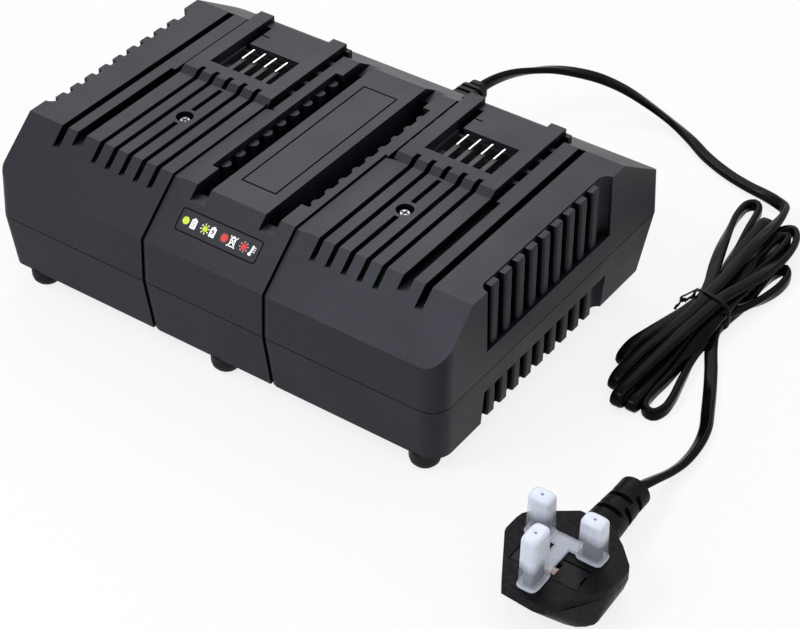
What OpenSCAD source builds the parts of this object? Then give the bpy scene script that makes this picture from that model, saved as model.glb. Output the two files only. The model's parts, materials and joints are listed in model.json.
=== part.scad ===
// Twin-bay charger for slide-on power tool battery packs, with its mains lead and plug.
// Units are millimetres. X runs left to right, Y front to back, Z up from the resting surface.

/* [Case] */
// Width of the case at the parting line
case_w = 225.6; // [223:0.2:228]
// Depth of the case at the parting line
case_d = 165; // [164:1:168]
// Height of the parting line between the two covers
part_z = 36; // [34:1:38]
// Height of the flat top
top_z = 76; // [74:1:78]
// Height of the lower edge of the front and rear bevels
bevel_z = 56.5; // [54:0.5:58]
// Wall thickness of both covers
wall = 2.6; // [2.2:0.1:3]
// Radius of the upright corner at the right of the front
corner_r = 9.5; // [8:0.5:11]
// Radius of the two rear upright corners
rear_corner_r = 4; // [4:1:8]

/* [Bays] */
// Distance from the centre plane to the middle of a bay
bay_x = 56.4; // [56:0.2:57]
// Spacing of the vent slots in a bay
vent_pitch = 7.55; // [7.3:0.05:7.6]
// Width of a vent slot
vent_w = 2.4; // [1.8:0.1:2.8]
// Height of the terminal frame above the flat top
frame_h = 2.2; // [1.8:0.1:2.6]

/* [Ribs] */
// Spacing of the ribs at the sides and beside the centre band
rib_pitch = 9.1; // [8.8:0.1:9.2]
// Number of ribs in a row
rib_count = 9; // [7:1:9]

/* [Feet] */
// Height of the rubber feet
foot_h = 8.5; // [8:0.5:9]
// Radius of a rubber foot
foot_r = 6.6; // [6:0.1:6.8]

/* [Lead] */
// Width of the flat twin cord
cord_w = 5.4; // [5:0.2:6.4]
// Thickness of the flat twin cord
cord_t = 3.6; // [3.2:0.2:4]

/* [Plug] */
// Height of the plug face while it lies on its back
plug_z = 21.5; // [21.2:0.1:21.8]
// Length of the two power pins
power_pin_l = 17.7; // [17:0.1:18]
// Length of the earth pin
earth_pin_l = 22.7; // [22:0.1:23]

/* [Hidden] */
$fn = 48;

eps = 0.01;
case_black = "#3d3c41";
base_black = "#38383d";
soft_black = "#1b1b1d";
copper = "#b87333";
steel = "#c8c8cc";

// --- case sections ---
half_w = case_w / 2;
half_d = case_d / 2;
shadow_gap = 0.2;
upright_lean = 1.2;
side_lean = 0.8;
front_top_y = -(half_d - 23.5);
back_top_y = half_d - 31.5;
low_front_y = -(half_d - 4);
low_back_y = half_d - 8;
low_side = 2.2;
left_corner_r = 4.6;
front_angle = atan2(top_z - bevel_z, half_d - upright_lean + front_top_y);
back_angle = atan2(top_z - bevel_z, half_d - upright_lean - back_top_y);
tongue_t = 1.2;
tongue_h = 1.6;

// --- grooves, slots and vents in the top ---
left_seam_x = -33.4;
right_seam_x = 28.6;
seam_w = 0.9;
seam_depth = 2;
dip_w = 2.6;
top_dip_w = 6;
dip_depth = 0.8;
block_half = 23.7;
inner_edge_x = bay_x - block_half;
outer_edge_x = bay_x + block_half;
channel_w = 4.9;
channel_z = top_z - 4.2;
groove_x0 = 90.2;
groove_w = 3.4;
vent_floor_z = top_z - 6.4;
groove_floor_z = top_z - 6.6;
slot_x0 = 13.8;
slot_x1 = 21.1;
slot_wide_x1 = 24.7;
slot_floor_z = top_z - 4.6;
slot_deep_z = top_z - 18;
slot_front_y = front_top_y + 0.6;
slot_wide_front_y = -45.5;
slot_wide_back_y = 38.5;
comb_x = 21;
comb_w = 4.9;
comb_first_y = -38.6;
comb_top_z = top_z - 2.6;
cell_w = 2.9;
cell_pitch = 9.3;
cell_count = 5;
cell_rib_w = 2.4;
cell_first_y = 16.4;
cell_z = top_z - 8;

// --- terminal frame of a bay ---
frame_z = top_z + frame_h;
frame_front_y = 0.6;
frame_slope = 3.4;
frame_back_y = 57.2;
window_front_y = 12.2;
window_back_y = 35.6;
window_half = 16.4;
deck_back_y = 56;
gap_w = 3.4;
gap_slit_y = 44;
cap_w = 2.8;
cap_y = 2.6;
hook_y = 7.2;
blade_pitch = 6.05;
blade_t = 0.8;
blade_front_y = 25;
blade_back_y = 35.2;
blade_top_z = top_z - 0.5;
well_z = top_z - 10;
blade_tail_z = 58;
carrier_rib_w = 2.3;

// --- screws ---
bay_screw_y = -24.7;
bay_recess_r = 3.8;
case_screw_x = 86;
case_screw_y = 58;
post_r = 4.2;
pilot_r = 1.45;
screw_r = 1.5;
head_r = 3;

// --- side vents ---
side_front_y = -49.4;
side_back_y = 41.6;
side_first_y = -42.4;
side_floor_z = part_z + 10.8;
side_rib_w = 5.2;
side_depth = 5;
side_corner_r = 4.4;
side_rib_top = top_z - 0.5;
low_vent_z = part_z - 10.2;

// --- indicator ---
panel_x = -1.6;
panel_w = 40.4;
panel_l = 9.4;
panel_t = 1.2;
panel_gap = 0.25;
panel_offset = 14.4;
lamp_pitch = 9.85;
lamp_first_x = -18.5;
lamp_r = 1.25;

// --- board ---
board_w = 188;
board_d = 118;
board_t = 1.6;
board_z = foot_h + 9;
board_top = board_z + board_t;

// --- cord, hank and plug places ---
grommet_z = 37;
grommet_w = 16;
grommet_h = 11;
grommet_l = 31;
hank_h = 14;
hank_outline = [[141.5, -4.6], [151, -6.4], [160, -3], [166, 4], [165, 18], [159, 56], [159, 82], [166.2, 104],
    [165.2, 114], [158.6, 140], [149.6, 146], [143, 155], [135, 150.4], [126.4, 153.4], [121.6, 146], [122.2, 134],
    [140, 82], [140, 58], [130.6, 34], [130.4, 22], [136, 6]];
tie_x = 149.5;
tie_y = 70;
tie_w = 20.4;
gland_in = 6.1;
plug_x = 180;
plug_y = -97.6;
pin_span = 22.23;
cover_gap = 0.4;
cover_wall = 1.5;
lead_route = [[0, 113, 37], [2.2, 124, 36.2], [4.2, 135, 34], [7.4, 147, 30.6], [12.4, 158.5, 26],
    [19.4, 168.6, 20.8], [28, 177, 15.6], [38, 183, 10.6], [50, 186.6, 6.4], [63, 185.4, 3.6], [77, 180.4, 2.7],
    [91, 173.6, 2.8], [105, 168, 2.8], [117, 165, 3], [127, 162.4, 3.4], [134, 158.6, 4.4], [139.4, 153.6, 5.4],
    [141.6, 149, 6.4]];
tail_route = [[159.6, 49, 2.6], [164.6, 42, 2.3], [168.4, 36, 2.3], [173.4, 26, 2.3], [178.2, 14, 2.4],
    [182.4, 3, 2.4], [184.4, -7, 2.6], [184.8, -17, 3.4], [184, -27, 5.4], [182.6, -37, 8.4],
    [181.3, -44, 10.4], [181, -49.6, 10.9]];

// --- plain shapes ---
module slab(x0, x1, y0, y1, z0, z1) {
    translate([min(x0, x1), y0, z0]) cube([abs(x1 - x0), y1 - y0, z1 - z0]);
}

module round_rect(w, d, r) {
    square([w - 2 * r, d], center = true);
    square([w, d - 2 * r], center = true);
    for (sx = [-1, 1], sy = [-1, 1]) translate([sx * (w / 2 - r), sy * (d / 2 - r)]) circle(r);
}

// Footprint of the case, inset by t, with a small corner at the left of the front and at the rear
module footprint(t) {
    rf = max(corner_r - t, 0.6);
    rl = max(left_corner_r - t, 0.6);
    rr = max(rear_corner_r - t, 0.6);
    w = half_w - t;
    d = half_d - t;
    translate([-w, -d + rf]) square([2 * w, 2 * d - rf - rr]);
    translate([-w, -d + rl]) square([w, rf]);
    translate([-w + rl, -d]) square([2 * w - rl - rf, rf + 1]);
    translate([-w + rr, d - rr - 1]) square([2 * (w - rr), rr + 1]);
    translate([-w + rl, -d + rl]) circle(rl);
    translate([w - rf, -d + rf]) circle(rf);
    for (sx = [-1, 1]) translate([sx * (w - rr), d - rr]) circle(rr);
}

module along_x(length) {
    rotate([90, 0, 90]) linear_extrude(length, center = true) children();
}

module along_y(length) {
    rotate([90, 0, 0]) linear_extrude(length, center = true) children();
}

module both_sides() {
    children();
    mirror([1, 0, 0]) children();
}

// --- case bodies, inset by t on every side ---
function upper_section(t, z0) = [
    [-(half_d - t), z0],
    [-(half_d - upright_lean - t), bevel_z - t * tan((90 - front_angle) / 2)],
    [front_top_y + t * tan(front_angle / 2), top_z - t],
    [back_top_y - t * tan(back_angle / 2), top_z - t],
    [half_d - upright_lean - t, bevel_z - t * tan((90 - back_angle) / 2)],
    [half_d - t, z0]];

module upper_form(t, z0) {
    rise = top_z - z0;
    lean_y = upright_lean * rise / (bevel_z - part_z);
    intersection() {
        along_x(case_w + 10) polygon(upper_section(t, z0));
        translate([0, 0, z0])
            linear_extrude(rise, slices = 1, scale = [1 - side_lean / half_w, 1 - lean_y / half_d])
                footprint(t);
    }
}

module lower_form(t, z0, z1) {
    still_y = -half_d * (low_back_y + low_front_y) / (low_back_y - low_front_y - 2 * half_d);
    sy = (low_back_y - low_front_y) / (2 * half_d);
    translate([-half_w, still_y, z1]) mirror([0, 0, 1])
        linear_extrude(z1 - z0, slices = 1, scale = [1 - low_side / case_w, sy])
            translate([half_w, -still_y]) footprint(t);
}

// A narrow crevice with a shallow ramp on its right, along a line in the section plane
module seam_run(x, y0, z0, y1, z1, ramp_w) {
    run = norm([y1 - y0, z1 - z0]);
    translate([x, y0, z0]) rotate([atan2(z1 - z0, y1 - y0), 0, 0]) {
        translate([-seam_w / 2, -1, -seam_depth]) cube([seam_w, run + 2, seam_depth + 1]);
        translate([0, run / 2, 0]) along_y(run + 1)
            polygon([[0, 1], [0, -dip_depth], [ramp_w, eps], [ramp_w, 1]]);
    }
}

module both_seams(y0, z0, y1, z1, ramp_w) {
    for (x = [left_seam_x, right_seam_x]) seam_run(x, y0, z0, y1, z1, ramp_w);
}

// --- covers ---
// A row of upright ribs, rounded at radius tip in plan and top_r at their upper ends
module rib_row(x0, x1, z0, z1, tip, top_r) {
    w = side_rib_w;
    intersection() {
        for (i = [0 : rib_count - 1]) translate([0, side_first_y + i * rib_pitch, z0])
            linear_extrude(z1 - z0) {
            translate([x0, -w / 2]) square([x1 - tip - x0, w]);
            translate([x1 - tip - eps, -w / 2 + tip]) square([tip + eps, w - 2 * tip]);
            for (s = [-1, 1]) translate([x1 - tip, s * (w / 2 - tip)]) circle(tip);
        }
        along_y(case_d) {
            translate([x0, z0]) square([x1 - top_r - x0, z1 - z0]);
            translate([x1 - top_r - eps, z0]) square([top_r + eps, z1 - top_r - z0]);
            translate([x1 - top_r, z1 - top_r]) circle(top_r);
        }
    }
}

module bay_structure() {
    // thick floor under the rail channel and outer groove
    slab(outer_edge_x - 3, groove_x0 + groove_w + 1.6, -half_d, back_top_y + 4, cell_z - 1.6, top_z);
    // thick floor under the inner edge and walls of the deep slot
    slab(slot_x0 - 1.6, inner_edge_x + 2, -half_d, back_top_y + 4, cell_z - 1.6, top_z);
    slab(slot_x0 - 1.6, slot_wide_x1 + 1.6, slot_front_y - 1.6, back_top_y - 1, slot_deep_z - 1.6, top_z);
    // boss for the bay screw
    translate([bay_x, bay_screw_y, top_z - 18]) cylinder(h = 17, r = 5);
}

module bay_frame() {
    translate([bay_x, 0, 0]) {
        // front bar with its sloping face
        along_x(2 * block_half) polygon([[frame_front_y, top_z - 2], [frame_front_y, top_z],
            [frame_front_y + frame_slope, frame_z], [window_front_y, frame_z], [window_front_y, top_z - 2]]);
        // rear deck between the rails
        slab(-block_half, block_half, window_back_y, deck_back_y, top_z - 5.2, top_z);
        // side rails
        for (s = [-1, 1]) slab(s * window_half, s * block_half, window_front_y - eps, frame_back_y,
            top_z - 6, frame_z);
        // rounded rail ends that close the channels
        for (s = [-1, 1]) translate([s * (block_half - 3), frame_back_y - cap_y, 0]) rotate([-90, 0, 0])
            linear_extrude(cap_y) {
                translate([0, -frame_z + 3]) circle(3);
                translate([s > 0 ? 0 : -3, -frame_z + 3]) square([3, 6]);
                translate([s > 0 ? 3 - eps : -3 - cap_w, -top_z]) square([cap_w, 5]);
            }
    }
}

module bay_cuts() {
    // vent slots, the middle one broken by the screw recess
    for (k = [-2 : 2]) translate([bay_x + k * vent_pitch, 0, 0]) difference() {
        slab(-vent_w / 2, vent_w / 2, -half_d, hook_y, vent_floor_z, frame_z + 1);
        if (k == 0) {
            slab(-vent_w, vent_w, bay_screw_y - 5.4, bay_screw_y + 5.4, vent_floor_z - 1, frame_z + 2);
            slab(-vent_w, vent_w, frame_front_y - 1.2, frame_front_y, vent_floor_z - 1, frame_z + 2);
        }
    }
    translate([bay_x, bay_screw_y, top_z - 3.4]) cylinder(h = 5, r = bay_recess_r);
    translate([bay_x, bay_screw_y, top_z - 20]) cylinder(h = 20, r = pilot_r + 0.15);
    // terminal window
    slab(bay_x - window_half, bay_x + window_half, window_front_y, window_back_y, top_z - 8, frame_z + 1);
    // outer groove and rail channel
    slab(groove_x0, groove_x0 + groove_w, -half_d, back_top_y - 0.4, groove_floor_z, top_z + 1);
    slab(outer_edge_x, outer_edge_x + channel_w, -half_d, frame_front_y + eps, channel_z, top_z + 1);
    // ribbed channels beside the rails
    for (x = [inner_edge_x - cell_w, outer_edge_x]) difference() {
        slab(x, x + cell_w, frame_front_y - eps, frame_back_y - cap_y, cell_z, top_z + eps);
        for (i = [0 : cell_count - 1])
            slab(x - 1, x + cell_w + 1, cell_first_y + i * cell_pitch - cell_rib_w / 2,
                cell_first_y + i * cell_pitch + cell_rib_w / 2, cell_z - 1, top_z - 0.5);
    }
}

// Gap beside the left rail of each bay, with a short slit at its corner
module rail_gaps() {
    for (s = [-1, 1]) translate([s * bay_x, 0, 0]) {
        slab(-window_half, -window_half + gap_w, window_back_y - 1, deck_back_y - 5, top_z - 8, top_z + 1);
        translate([-window_half + gap_w - 0.5, gap_slit_y, top_z - 2]) rotate([0, 0, -4])
            cube([4.4, 0.8, 4]);
    }
}

module centre_slot() {
    slab(slot_x0, slot_x1, -half_d, half_d, slot_floor_z, top_z + 1);
    slab(slot_x0, slot_x1, slot_front_y, back_top_y - 2.6, slot_deep_z, top_z + 1);
    difference() {
        slab(slot_x0, slot_wide_x1, slot_wide_front_y, slot_wide_back_y, slot_deep_z, top_z + 1);
        for (i = [0 : rib_count - 1]) translate([0, comb_first_y + i * rib_pitch, 0]) {
            slab(comb_x + comb_w / 2, slot_wide_x1 + 1, -comb_w / 2, comb_w / 2, slot_deep_z - 1, comb_top_z);
            translate([comb_x + comb_w / 2, 0, slot_deep_z - 1])
                cylinder(h = comb_top_z - slot_deep_z + 1, r = comb_w / 2);
        }
    }
}

// Pocket in the right side, its inner corners rounded in plan
module side_recess(z0, z1) {
    r = side_corner_r;
    x0 = half_w - side_depth;
    translate([0, 0, z0]) linear_extrude(z1 - z0) {
        translate([x0 + r, side_front_y]) square([10, side_back_y - side_front_y]);
        translate([x0, side_front_y + r]) square([r + 1, side_back_y - side_front_y - 2 * r]);
        for (y = [side_front_y + r, side_back_y - r]) translate([x0 + r, y]) circle(r);
    }
}

// Skin behind and around a side pocket
module side_liner(z0, z1, grow_down, grow_up) {
    x0 = half_w - side_depth - 1.4;
    difference() {
        slab(x0, half_w - 2, side_front_y - 1.4, side_back_y + 1.4, z0 - grow_down, z1 + grow_up);
        side_recess(z0 - (grow_down == 0 ? 1 : 0), z1 + (grow_up == 0 ? 1 : 0));
    }
}

module top_cover() {
    color(case_black) difference() {
        union() {
            difference() {
                upper_form(0, part_z + shadow_gap);
                upper_form(wall, part_z - 1);
                both_sides() side_recess(side_floor_z, top_z + 1);
                // rebate for the tongue of the lower cover
                translate([0, 0, part_z - 1]) linear_extrude(tongue_h + 1.1)
                    footprint(wall - tongue_t - 0.05);
            }
            intersection() {
                upper_form(0, part_z + shadow_gap);
                both_sides() {
                    bay_structure();
                    // side ribs and the liner behind them
                    rib_row(half_w - side_depth - 0.6, half_w - 1.3, side_floor_z - 1.2, side_rib_top,
                        1.5, 1);
                    side_liner(side_floor_z, top_z, 1.4, 0);
                }
            }
            both_sides() bay_frame();
            // posts for the case screws
            intersection() {
                upper_form(0.5, part_z);
                for (sx = [-1, 1], sy = [-1, 1]) translate([sx * case_screw_x, sy * case_screw_y, part_z])
                    cylinder(h = 40, r = post_r);
            }
        }
        both_sides() {
            bay_cuts();
            centre_slot();
        }
        rail_gaps();
        both_seams(-half_d, part_z, -(half_d - upright_lean), bevel_z, dip_w);
        both_seams(-(half_d - upright_lean), bevel_z, front_top_y, top_z, dip_w);
        both_seams(front_top_y, top_z, frame_front_y, top_z, top_dip_w);
        // pilot holes in the posts
        for (sx = [-1, 1], sy = [-1, 1]) translate([sx * case_screw_x, sy * case_screw_y, part_z - 1])
            cylinder(h = 16, r = pilot_r);
        // engraved frame on the centre band
        translate([0, -4.6, top_z - 0.6]) linear_extrude(2) difference() {
            square([17.8, 84], center = true);
            square([16.2, 82.4], center = true);
        }
        on_bevel() {
            translate([0, 0, -wall - 2]) linear_extrude(wall + 3) round_rect(panel_w - 3, panel_l - 3, 1);
            translate([0, 0, -panel_t]) linear_extrude(3)
                round_rect(panel_w + 2 * panel_gap, panel_l + 2 * panel_gap, 1.6);
        }
        grommet_hole();
    }
}

// Places children on the front bevel, with +Z along the outward normal of the bevel
module on_bevel() {
    translate([panel_x, -(half_d - upright_lean), bevel_z]) rotate([front_angle, 0, 0])
        translate([0, panel_offset, 0]) children();
}

module grommet_hole() {
    slab(-5.6, 5.6, half_d - 7, half_d + 2, grommet_z - 4, grommet_z + 4);
}

module bottom_cover() {
    cavity_z = foot_h + wall;
    color(base_black) difference() {
        union() {
            difference() {
                lower_form(0, foot_h, part_z - shadow_gap);
                intersection() {
                    lower_form(wall, foot_h, part_z + 1);
                    slab(-half_w, half_w, -half_d, half_d, cavity_z, part_z + 1);
                }
                both_sides() side_recess(foot_h - 1, low_vent_z);
            }
            // tongue that enters the upper cover
            difference() {
                translate([0, 0, part_z - 6]) linear_extrude(6 + tongue_h) footprint(wall - tongue_t);
                translate([0, 0, part_z - 7]) linear_extrude(9 + tongue_h) footprint(wall);
                slab(-half_w - 1, half_w + 1, -half_d, half_d, part_z - 7, part_z - 1);
            }
            intersection() {
                lower_form(0, foot_h, part_z - shadow_gap);
                both_sides() {
                    rib_row(half_w - side_depth - 0.6, half_w - 1.6, foot_h + 1.5, low_vent_z + 3, 1.5, 0.6);
                    side_liner(foot_h, low_vent_z, 0, 1.4);
                }
            }
            // pillars for the case screws and the circuit board
            for (sx = [-1, 1], sy = [-1, 1]) {
                translate([sx * case_screw_x, sy * case_screw_y, cavity_z - eps])
                    cylinder(h = part_z - cavity_z - 0.2, r = post_r);
                translate([sx * 70, sy * 50, cavity_z - eps]) cylinder(h = board_z - cavity_z, r = 3.4);
            }
            // seat for the cord clamp
            slab(-14, 14, 62, 70, cavity_z - eps, grommet_z - 4);
        }
        both_seams(low_front_y, foot_h, -half_d, part_z, dip_w);
        for (sx = [-1, 1], sy = [-1, 1]) {
            translate([sx * case_screw_x, sy * case_screw_y, foot_h - 1]) cylinder(h = 40, r = screw_r + 0.2);
            translate([sx * case_screw_x, sy * case_screw_y, foot_h - 1]) cylinder(h = 13, r = head_r + 0.3);
            translate([sx * 70, sy * 50, cavity_z + 0.4]) cylinder(h = 10, r = 1);
        }
        for (x = foot_places, y = [front_foot_y, back_foot_y]) translate([x, y, foot_h - 1]) {
            cylinder(h = wall + 2, r = 2.5);
            translate([0, 0, wall + 1]) cylinder(h = 3, r = 3.6);
        }
        for (sx = [-1, 1]) translate([sx * 10, 66, grommet_z - 16]) cylinder(h = 20, r = 1.1);
        grommet_hole();
    }
}

// --- indicator ---
module indicator_window() {
    color("#2c2c31") on_bevel() translate([0, 0, -panel_t]) linear_extrude(panel_t - 0.05)
        round_rect(panel_w, panel_l, 1.4);
}

module indicator_lamps() {
    color("#d8f060") on_bevel() for (i = [0 : 3])
        translate([lamp_first_x - panel_x + i * lamp_pitch, 0, -panel_t - 4.4])
        cylinder(h = 4.3, r = lamp_r);
}

module indicator_board() {
    color("#2f6b3c") on_bevel() translate([0, 0, -panel_t - 5.4]) linear_extrude(1)
        square([panel_w + 4, 9], center = true);
}

// --- terminals ---
module terminal_block(side) {
    color("#34343a") translate([side * bay_x, 0, 0]) difference() {
        union() {
            slab(-window_half + 0.2, window_half - 0.2, window_front_y + 0.2, window_back_y - 0.2,
                well_z - 2, well_z);
            slab(-window_half + 0.2, -window_half + 1.4, window_front_y + 0.2, window_back_y - 0.2,
                well_z - eps, top_z - 2);
            slab(window_half - 1.4, window_half - 0.2, window_front_y + 0.2, window_back_y - 0.2,
                well_z - eps, top_z - 2);
            slab(-window_half + 0.2, window_half - 0.2, window_front_y + 0.2, window_front_y + 1.4,
                well_z - eps, top_z - 1.4);
            slab(-window_half + 0.2, window_half - 0.2, window_back_y - 1.4, window_back_y - 0.2,
                well_z - eps, top_z - 3.4);
            for (i = [0 : 3]) translate([(i - 1.5) * blade_pitch, 0, 0])
                slab(-carrier_rib_w / 2, carrier_rib_w / 2, window_front_y + 1, blade_front_y + 1.4,
                    well_z - eps, top_z - 1.4);
            // low shelves beside the outer blades
            for (s = [-1, 1]) slab(s * 11.4, s * (window_half - 1), window_front_y + 1,
                blade_front_y - 2, well_z - eps, top_z - 4.5);
        }
        for (i = [0 : 3]) translate([(i - 1.5) * blade_pitch, 0, 0])
            slab(-blade_t / 2, blade_t / 2, blade_front_y, blade_back_y, well_z - 3, top_z + 1);
    }
}

module left_terminal_block() {
    terminal_block(-1);
}

module right_terminal_block() {
    terminal_block(1);
}

module terminal_blades(side) {
    color(steel) translate([side * bay_x, 0, 0]) for (i = [0 : 3])
        translate([(i - 1.5) * blade_pitch, 0, 0]) {
        slab(-blade_t / 2, blade_t / 2, blade_front_y, blade_back_y - 1.5, blade_tail_z + 4, blade_top_z);
        slab(-blade_t / 2, blade_t / 2, blade_back_y - 1.5 - eps, blade_back_y, blade_tail_z + 4,
            blade_top_z - 2);
        slab(-blade_t / 2, blade_t / 2, blade_front_y + 3, blade_front_y + 7, blade_tail_z,
            blade_tail_z + 4 + eps);
    }
}

module left_terminal_blades() {
    terminal_blades(-1);
}

module right_terminal_blades() {
    terminal_blades(1);
}

module terminal_wires(side, shade) {
    color(shade) translate([side * bay_x, blade_front_y + 5, 0]) for (i = [0 : 3])
        translate([(i - 1.5) * blade_pitch, 0, board_top]) cylinder(h = blade_tail_z - board_top, r = 1.1);
}

module left_terminal_wires() {
    terminal_wires(-1, "#b03030");
}

module right_terminal_wires() {
    terminal_wires(1, "#b03030");
}

// --- fasteners ---
module cross_recess(r, depth) {
    for (a = [0, 90]) rotate([0, 0, a]) translate([-r, -r / 4, -depth]) cube([2 * r, r / 2, depth + 1]);
}

module bay_screws() {
    color(steel) both_sides() translate([bay_x, bay_screw_y, top_z - 3.4]) difference() {
        union() {
            cylinder(h = 0.9, r = head_r - 0.1);
            translate([0, 0, 0.9 - eps]) cylinder(h = 0.9, r1 = head_r - 0.1, r2 = head_r - 1);
            translate([0, 0, -12]) cylinder(h = 12 + eps, r = screw_r);
        }
        translate([0, 0, 1.8]) cross_recess(1.7, 1.1);
    }
}

module case_screws() {
    color(steel) for (sx = [-1, 1], sy = [-1, 1])
        translate([sx * case_screw_x, sy * case_screw_y, foot_h + 12])
        rotate([180, 0, 0]) difference() {
            union() {
                cylinder(h = 2.2, r = head_r);
                translate([0, 0, -24]) cylinder(h = 24 + eps, r = pilot_r - 0.05);
            }
            translate([0, 0, 2.2]) cross_recess(1.8, 1.2);
        }
}

module board_screws() {
    color(steel) for (sx = [-1, 1], sy = [-1, 1]) translate([sx * 70, sy * 50, board_top]) difference() {
        union() {
            cylinder(h = 1.8, r = 2.4);
            translate([0, 0, -6]) cylinder(h = 6 + eps, r = 0.95);
        }
        translate([0, 0, 1.8]) cross_recess(1.4, 1);
    }
}

// --- feet ---
foot_places = [-100, 0, 100];
front_foot_y = -72.3;
back_foot_y = 65;

module foot_row(y) {
    color(soft_black) for (x = foot_places) translate([x, y, 0]) {
        rotate_extrude() polygon([[0, 0], [foot_r - 3.4, 0], [foot_r - 1.6, 0.9], [foot_r - 0.5, 2.2],
            [foot_r, 4], [foot_r, foot_h], [0, foot_h]]);
        translate([0, 0, foot_h - eps]) cylinder(h = wall, r = 2.45);
        translate([0, 0, foot_h + wall - eps]) cylinder(h = 2, r1 = 3.2, r2 = 2.2);
    }
}

module front_feet() {
    foot_row(front_foot_y);
}

module rear_feet() {
    foot_row(back_foot_y);
}

// --- electronics ---
module circuit_board() {
    color("#2f6b3c") difference() {
        slab(-board_w / 2, board_w / 2, -board_d / 2, board_d / 2, board_z, board_top);
        for (sx = [-1, 1], sy = [-1, 1]) {
            translate([sx * 70, sy * 50, board_z - 1]) cylinder(h = 4, r = 1.6);
            translate([sx * case_screw_x, sy * case_screw_y, board_z - 1]) cylinder(h = 4, r = post_r + 1);
        }
    }
}

module transformer_core() {
    color("#4a4a4e") translate([0, 0, board_top]) difference() {
        slab(-21, 21, -8, 8, 3, 37);
        for (s = [-1, 1]) slab(s * 6, s * 15, -9, 9, 9, 31);
    }
}

module transformer_winding() {
    color("#d8b040") translate([0, 0, board_top]) difference() {
        union() {
            slab(-14.8, 14.8, -14, 14, 9.2, 11);
            slab(-14.8, 14.8, -14, 14, 29, 30.8);
            translate([0, 0, 10.9]) linear_extrude(18.2) round_rect(26, 25, 6);
            for (x = [-12, -4, 4, 12], s = [-1, 1]) translate([x, s * 12.8, 0]) cylinder(h = 9.3, r = 0.7);
        }
        slab(-6, 6, -8, 8, 8, 32);
    }
}

module main_capacitors() {
    color("#26262c") for (x = [-52, -30]) translate([x, -36, board_top]) {
        cylinder(h = 34, r = 9);
        translate([0, 0, 34 - eps]) cylinder(h = 0.8, r = 7.6);
    }
}

module filter_choke() {
    color("#8a5a2a") translate([40, 42, board_top + 11.4]) rotate([90, 0, 0]) rotate_extrude()
        translate([8, 0]) circle(3.4);
}

module filter_capacitor() {
    color("#c8a020") translate([64, 24, board_top]) slab(-9, 9, -4, 4, 0, 15);
}

module board_fuse() {
    color("#e0ddd4") translate([20, 46, board_top]) {
        translate([0, 0, 3]) rotate([0, 90, 0]) cylinder(h = 20, r = 2.6, center = true);
        for (s = [-1, 1]) translate([s * 8.6, 0, 0]) slab(-0.8, 0.8, -3, 3, 0, 3);
    }
}

module bridge_rectifier() {
    color("#202024") translate([-4, -36, board_top]) {
        slab(-10, 10, -2, 2, 3, 18);
        for (x = [-7.5, -2.5, 2.5, 7.5]) slab(x - 0.5, x + 0.5, -0.5, 0.5, 0, 3 + eps);
    }
}

module heat_sink() {
    color("#b8bcc0") translate([0, 0, board_top]) {
        slab(-1.5, 1.5, -24, 24, 0, 32);
        for (i = [-3 : 3]) slab(1.4, 9, i * 7.4 - 0.7, i * 7.4 + 0.7, 4, 32);
    }
}

module left_heat_sink() {
    translate([-86, 0, 0]) heat_sink();
}

module right_heat_sink() {
    mirror([1, 0, 0]) translate([-86, 0, 0]) heat_sink();
}

module power_transistors() {
    color("#1e1e22") both_sides() for (y = [-15, 0, 15]) translate([89.8, y, board_top]) {
        slab(-2.3, 2.3, -5, 5, 12, 27);
        for (k = [-1 : 1]) slab(-0.4, 0.4, k * 2.5 - 0.4, k * 2.5 + 0.4, 0, 12 + eps);
    }
}

module mains_wires() {
    wire_drop_y = 52;
    color("#3a5cb0") for (s = [-1, 1]) translate([s * 3.2, 0, 0]) {
        translate([0, half_d - gland_in, grommet_z]) rotate([90, 0, 0])
            cylinder(h = half_d - gland_in - wire_drop_y, r = 1.3);
        translate([0, wire_drop_y, grommet_z]) sphere(1.3);
        translate([0, wire_drop_y, board_top]) cylinder(h = grommet_z - board_top, r = 1.3);
    }
}

// --- cord entry ---
module cord_clamp() {
    color("#2a2a2e") difference() {
        slab(-14, 14, 63, 69, grommet_z - 4, grommet_z + 5.6);
        slab(-4.8, 4.8, 62, 70, grommet_z - 5, grommet_z + 1.6);
        for (sx = [-1, 1]) translate([sx * 10, 66, grommet_z - 5]) cylinder(h = 12, r = 1.7);
    }
}

module clamp_screws() {
    color(steel) for (sx = [-1, 1]) translate([sx * 10, 66, grommet_z + 5.6]) difference() {
        union() {
            cylinder(h = 1.8, r = 2.6);
            translate([0, 0, -16]) cylinder(h = 16 + eps, r = 1.05);
        }
        translate([0, 0, 1.8]) cross_recess(1.5, 1);
    }
}

module grommet_slice(w, h, l) {
    rotate([-90, 0, 0]) linear_extrude(l) round_rect(w, h, min(w, h) / 2 - 1.2);
}

module cord_grommet() {
    rib_t = 2;
    pitch = 3.5;
    last_pitch = 3.9;
    first = 16.9;
    nose = first + 3 * last_pitch - 0.4;
    color(soft_black) translate([0, half_d, grommet_z]) {
        // neck through the wall and inner flange
        translate([0, -gland_in, 0]) grommet_slice(10.8, 7.6, gland_in + 0.1);
        translate([0, -gland_in, 0]) grommet_slice(14, 9.6, 2);
        // collar on the wall, sleeve and ribs
        translate([0, 0.02, 0]) grommet_slice(grommet_w, grommet_h, 3);
        grommet_slice(8.8, 7.4, grommet_l - 1);
        for (i = [0 : 2]) translate([0, 5.2 + i * pitch, 0])
            grommet_slice(grommet_w - 0.4 * i, grommet_h - 0.3 * i, rib_t);
        for (i = [0 : 2]) translate([0, first + i * last_pitch, 0])
            grommet_slice(14.2 - 0.4 * i, 10.4 - 0.3 * i, rib_t);
        translate([0, nose, 0]) grommet_slice(9.2, 9.2, grommet_l - nose);
    }
}

// --- cord ---
function unit(v) = v / norm(v);

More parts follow.
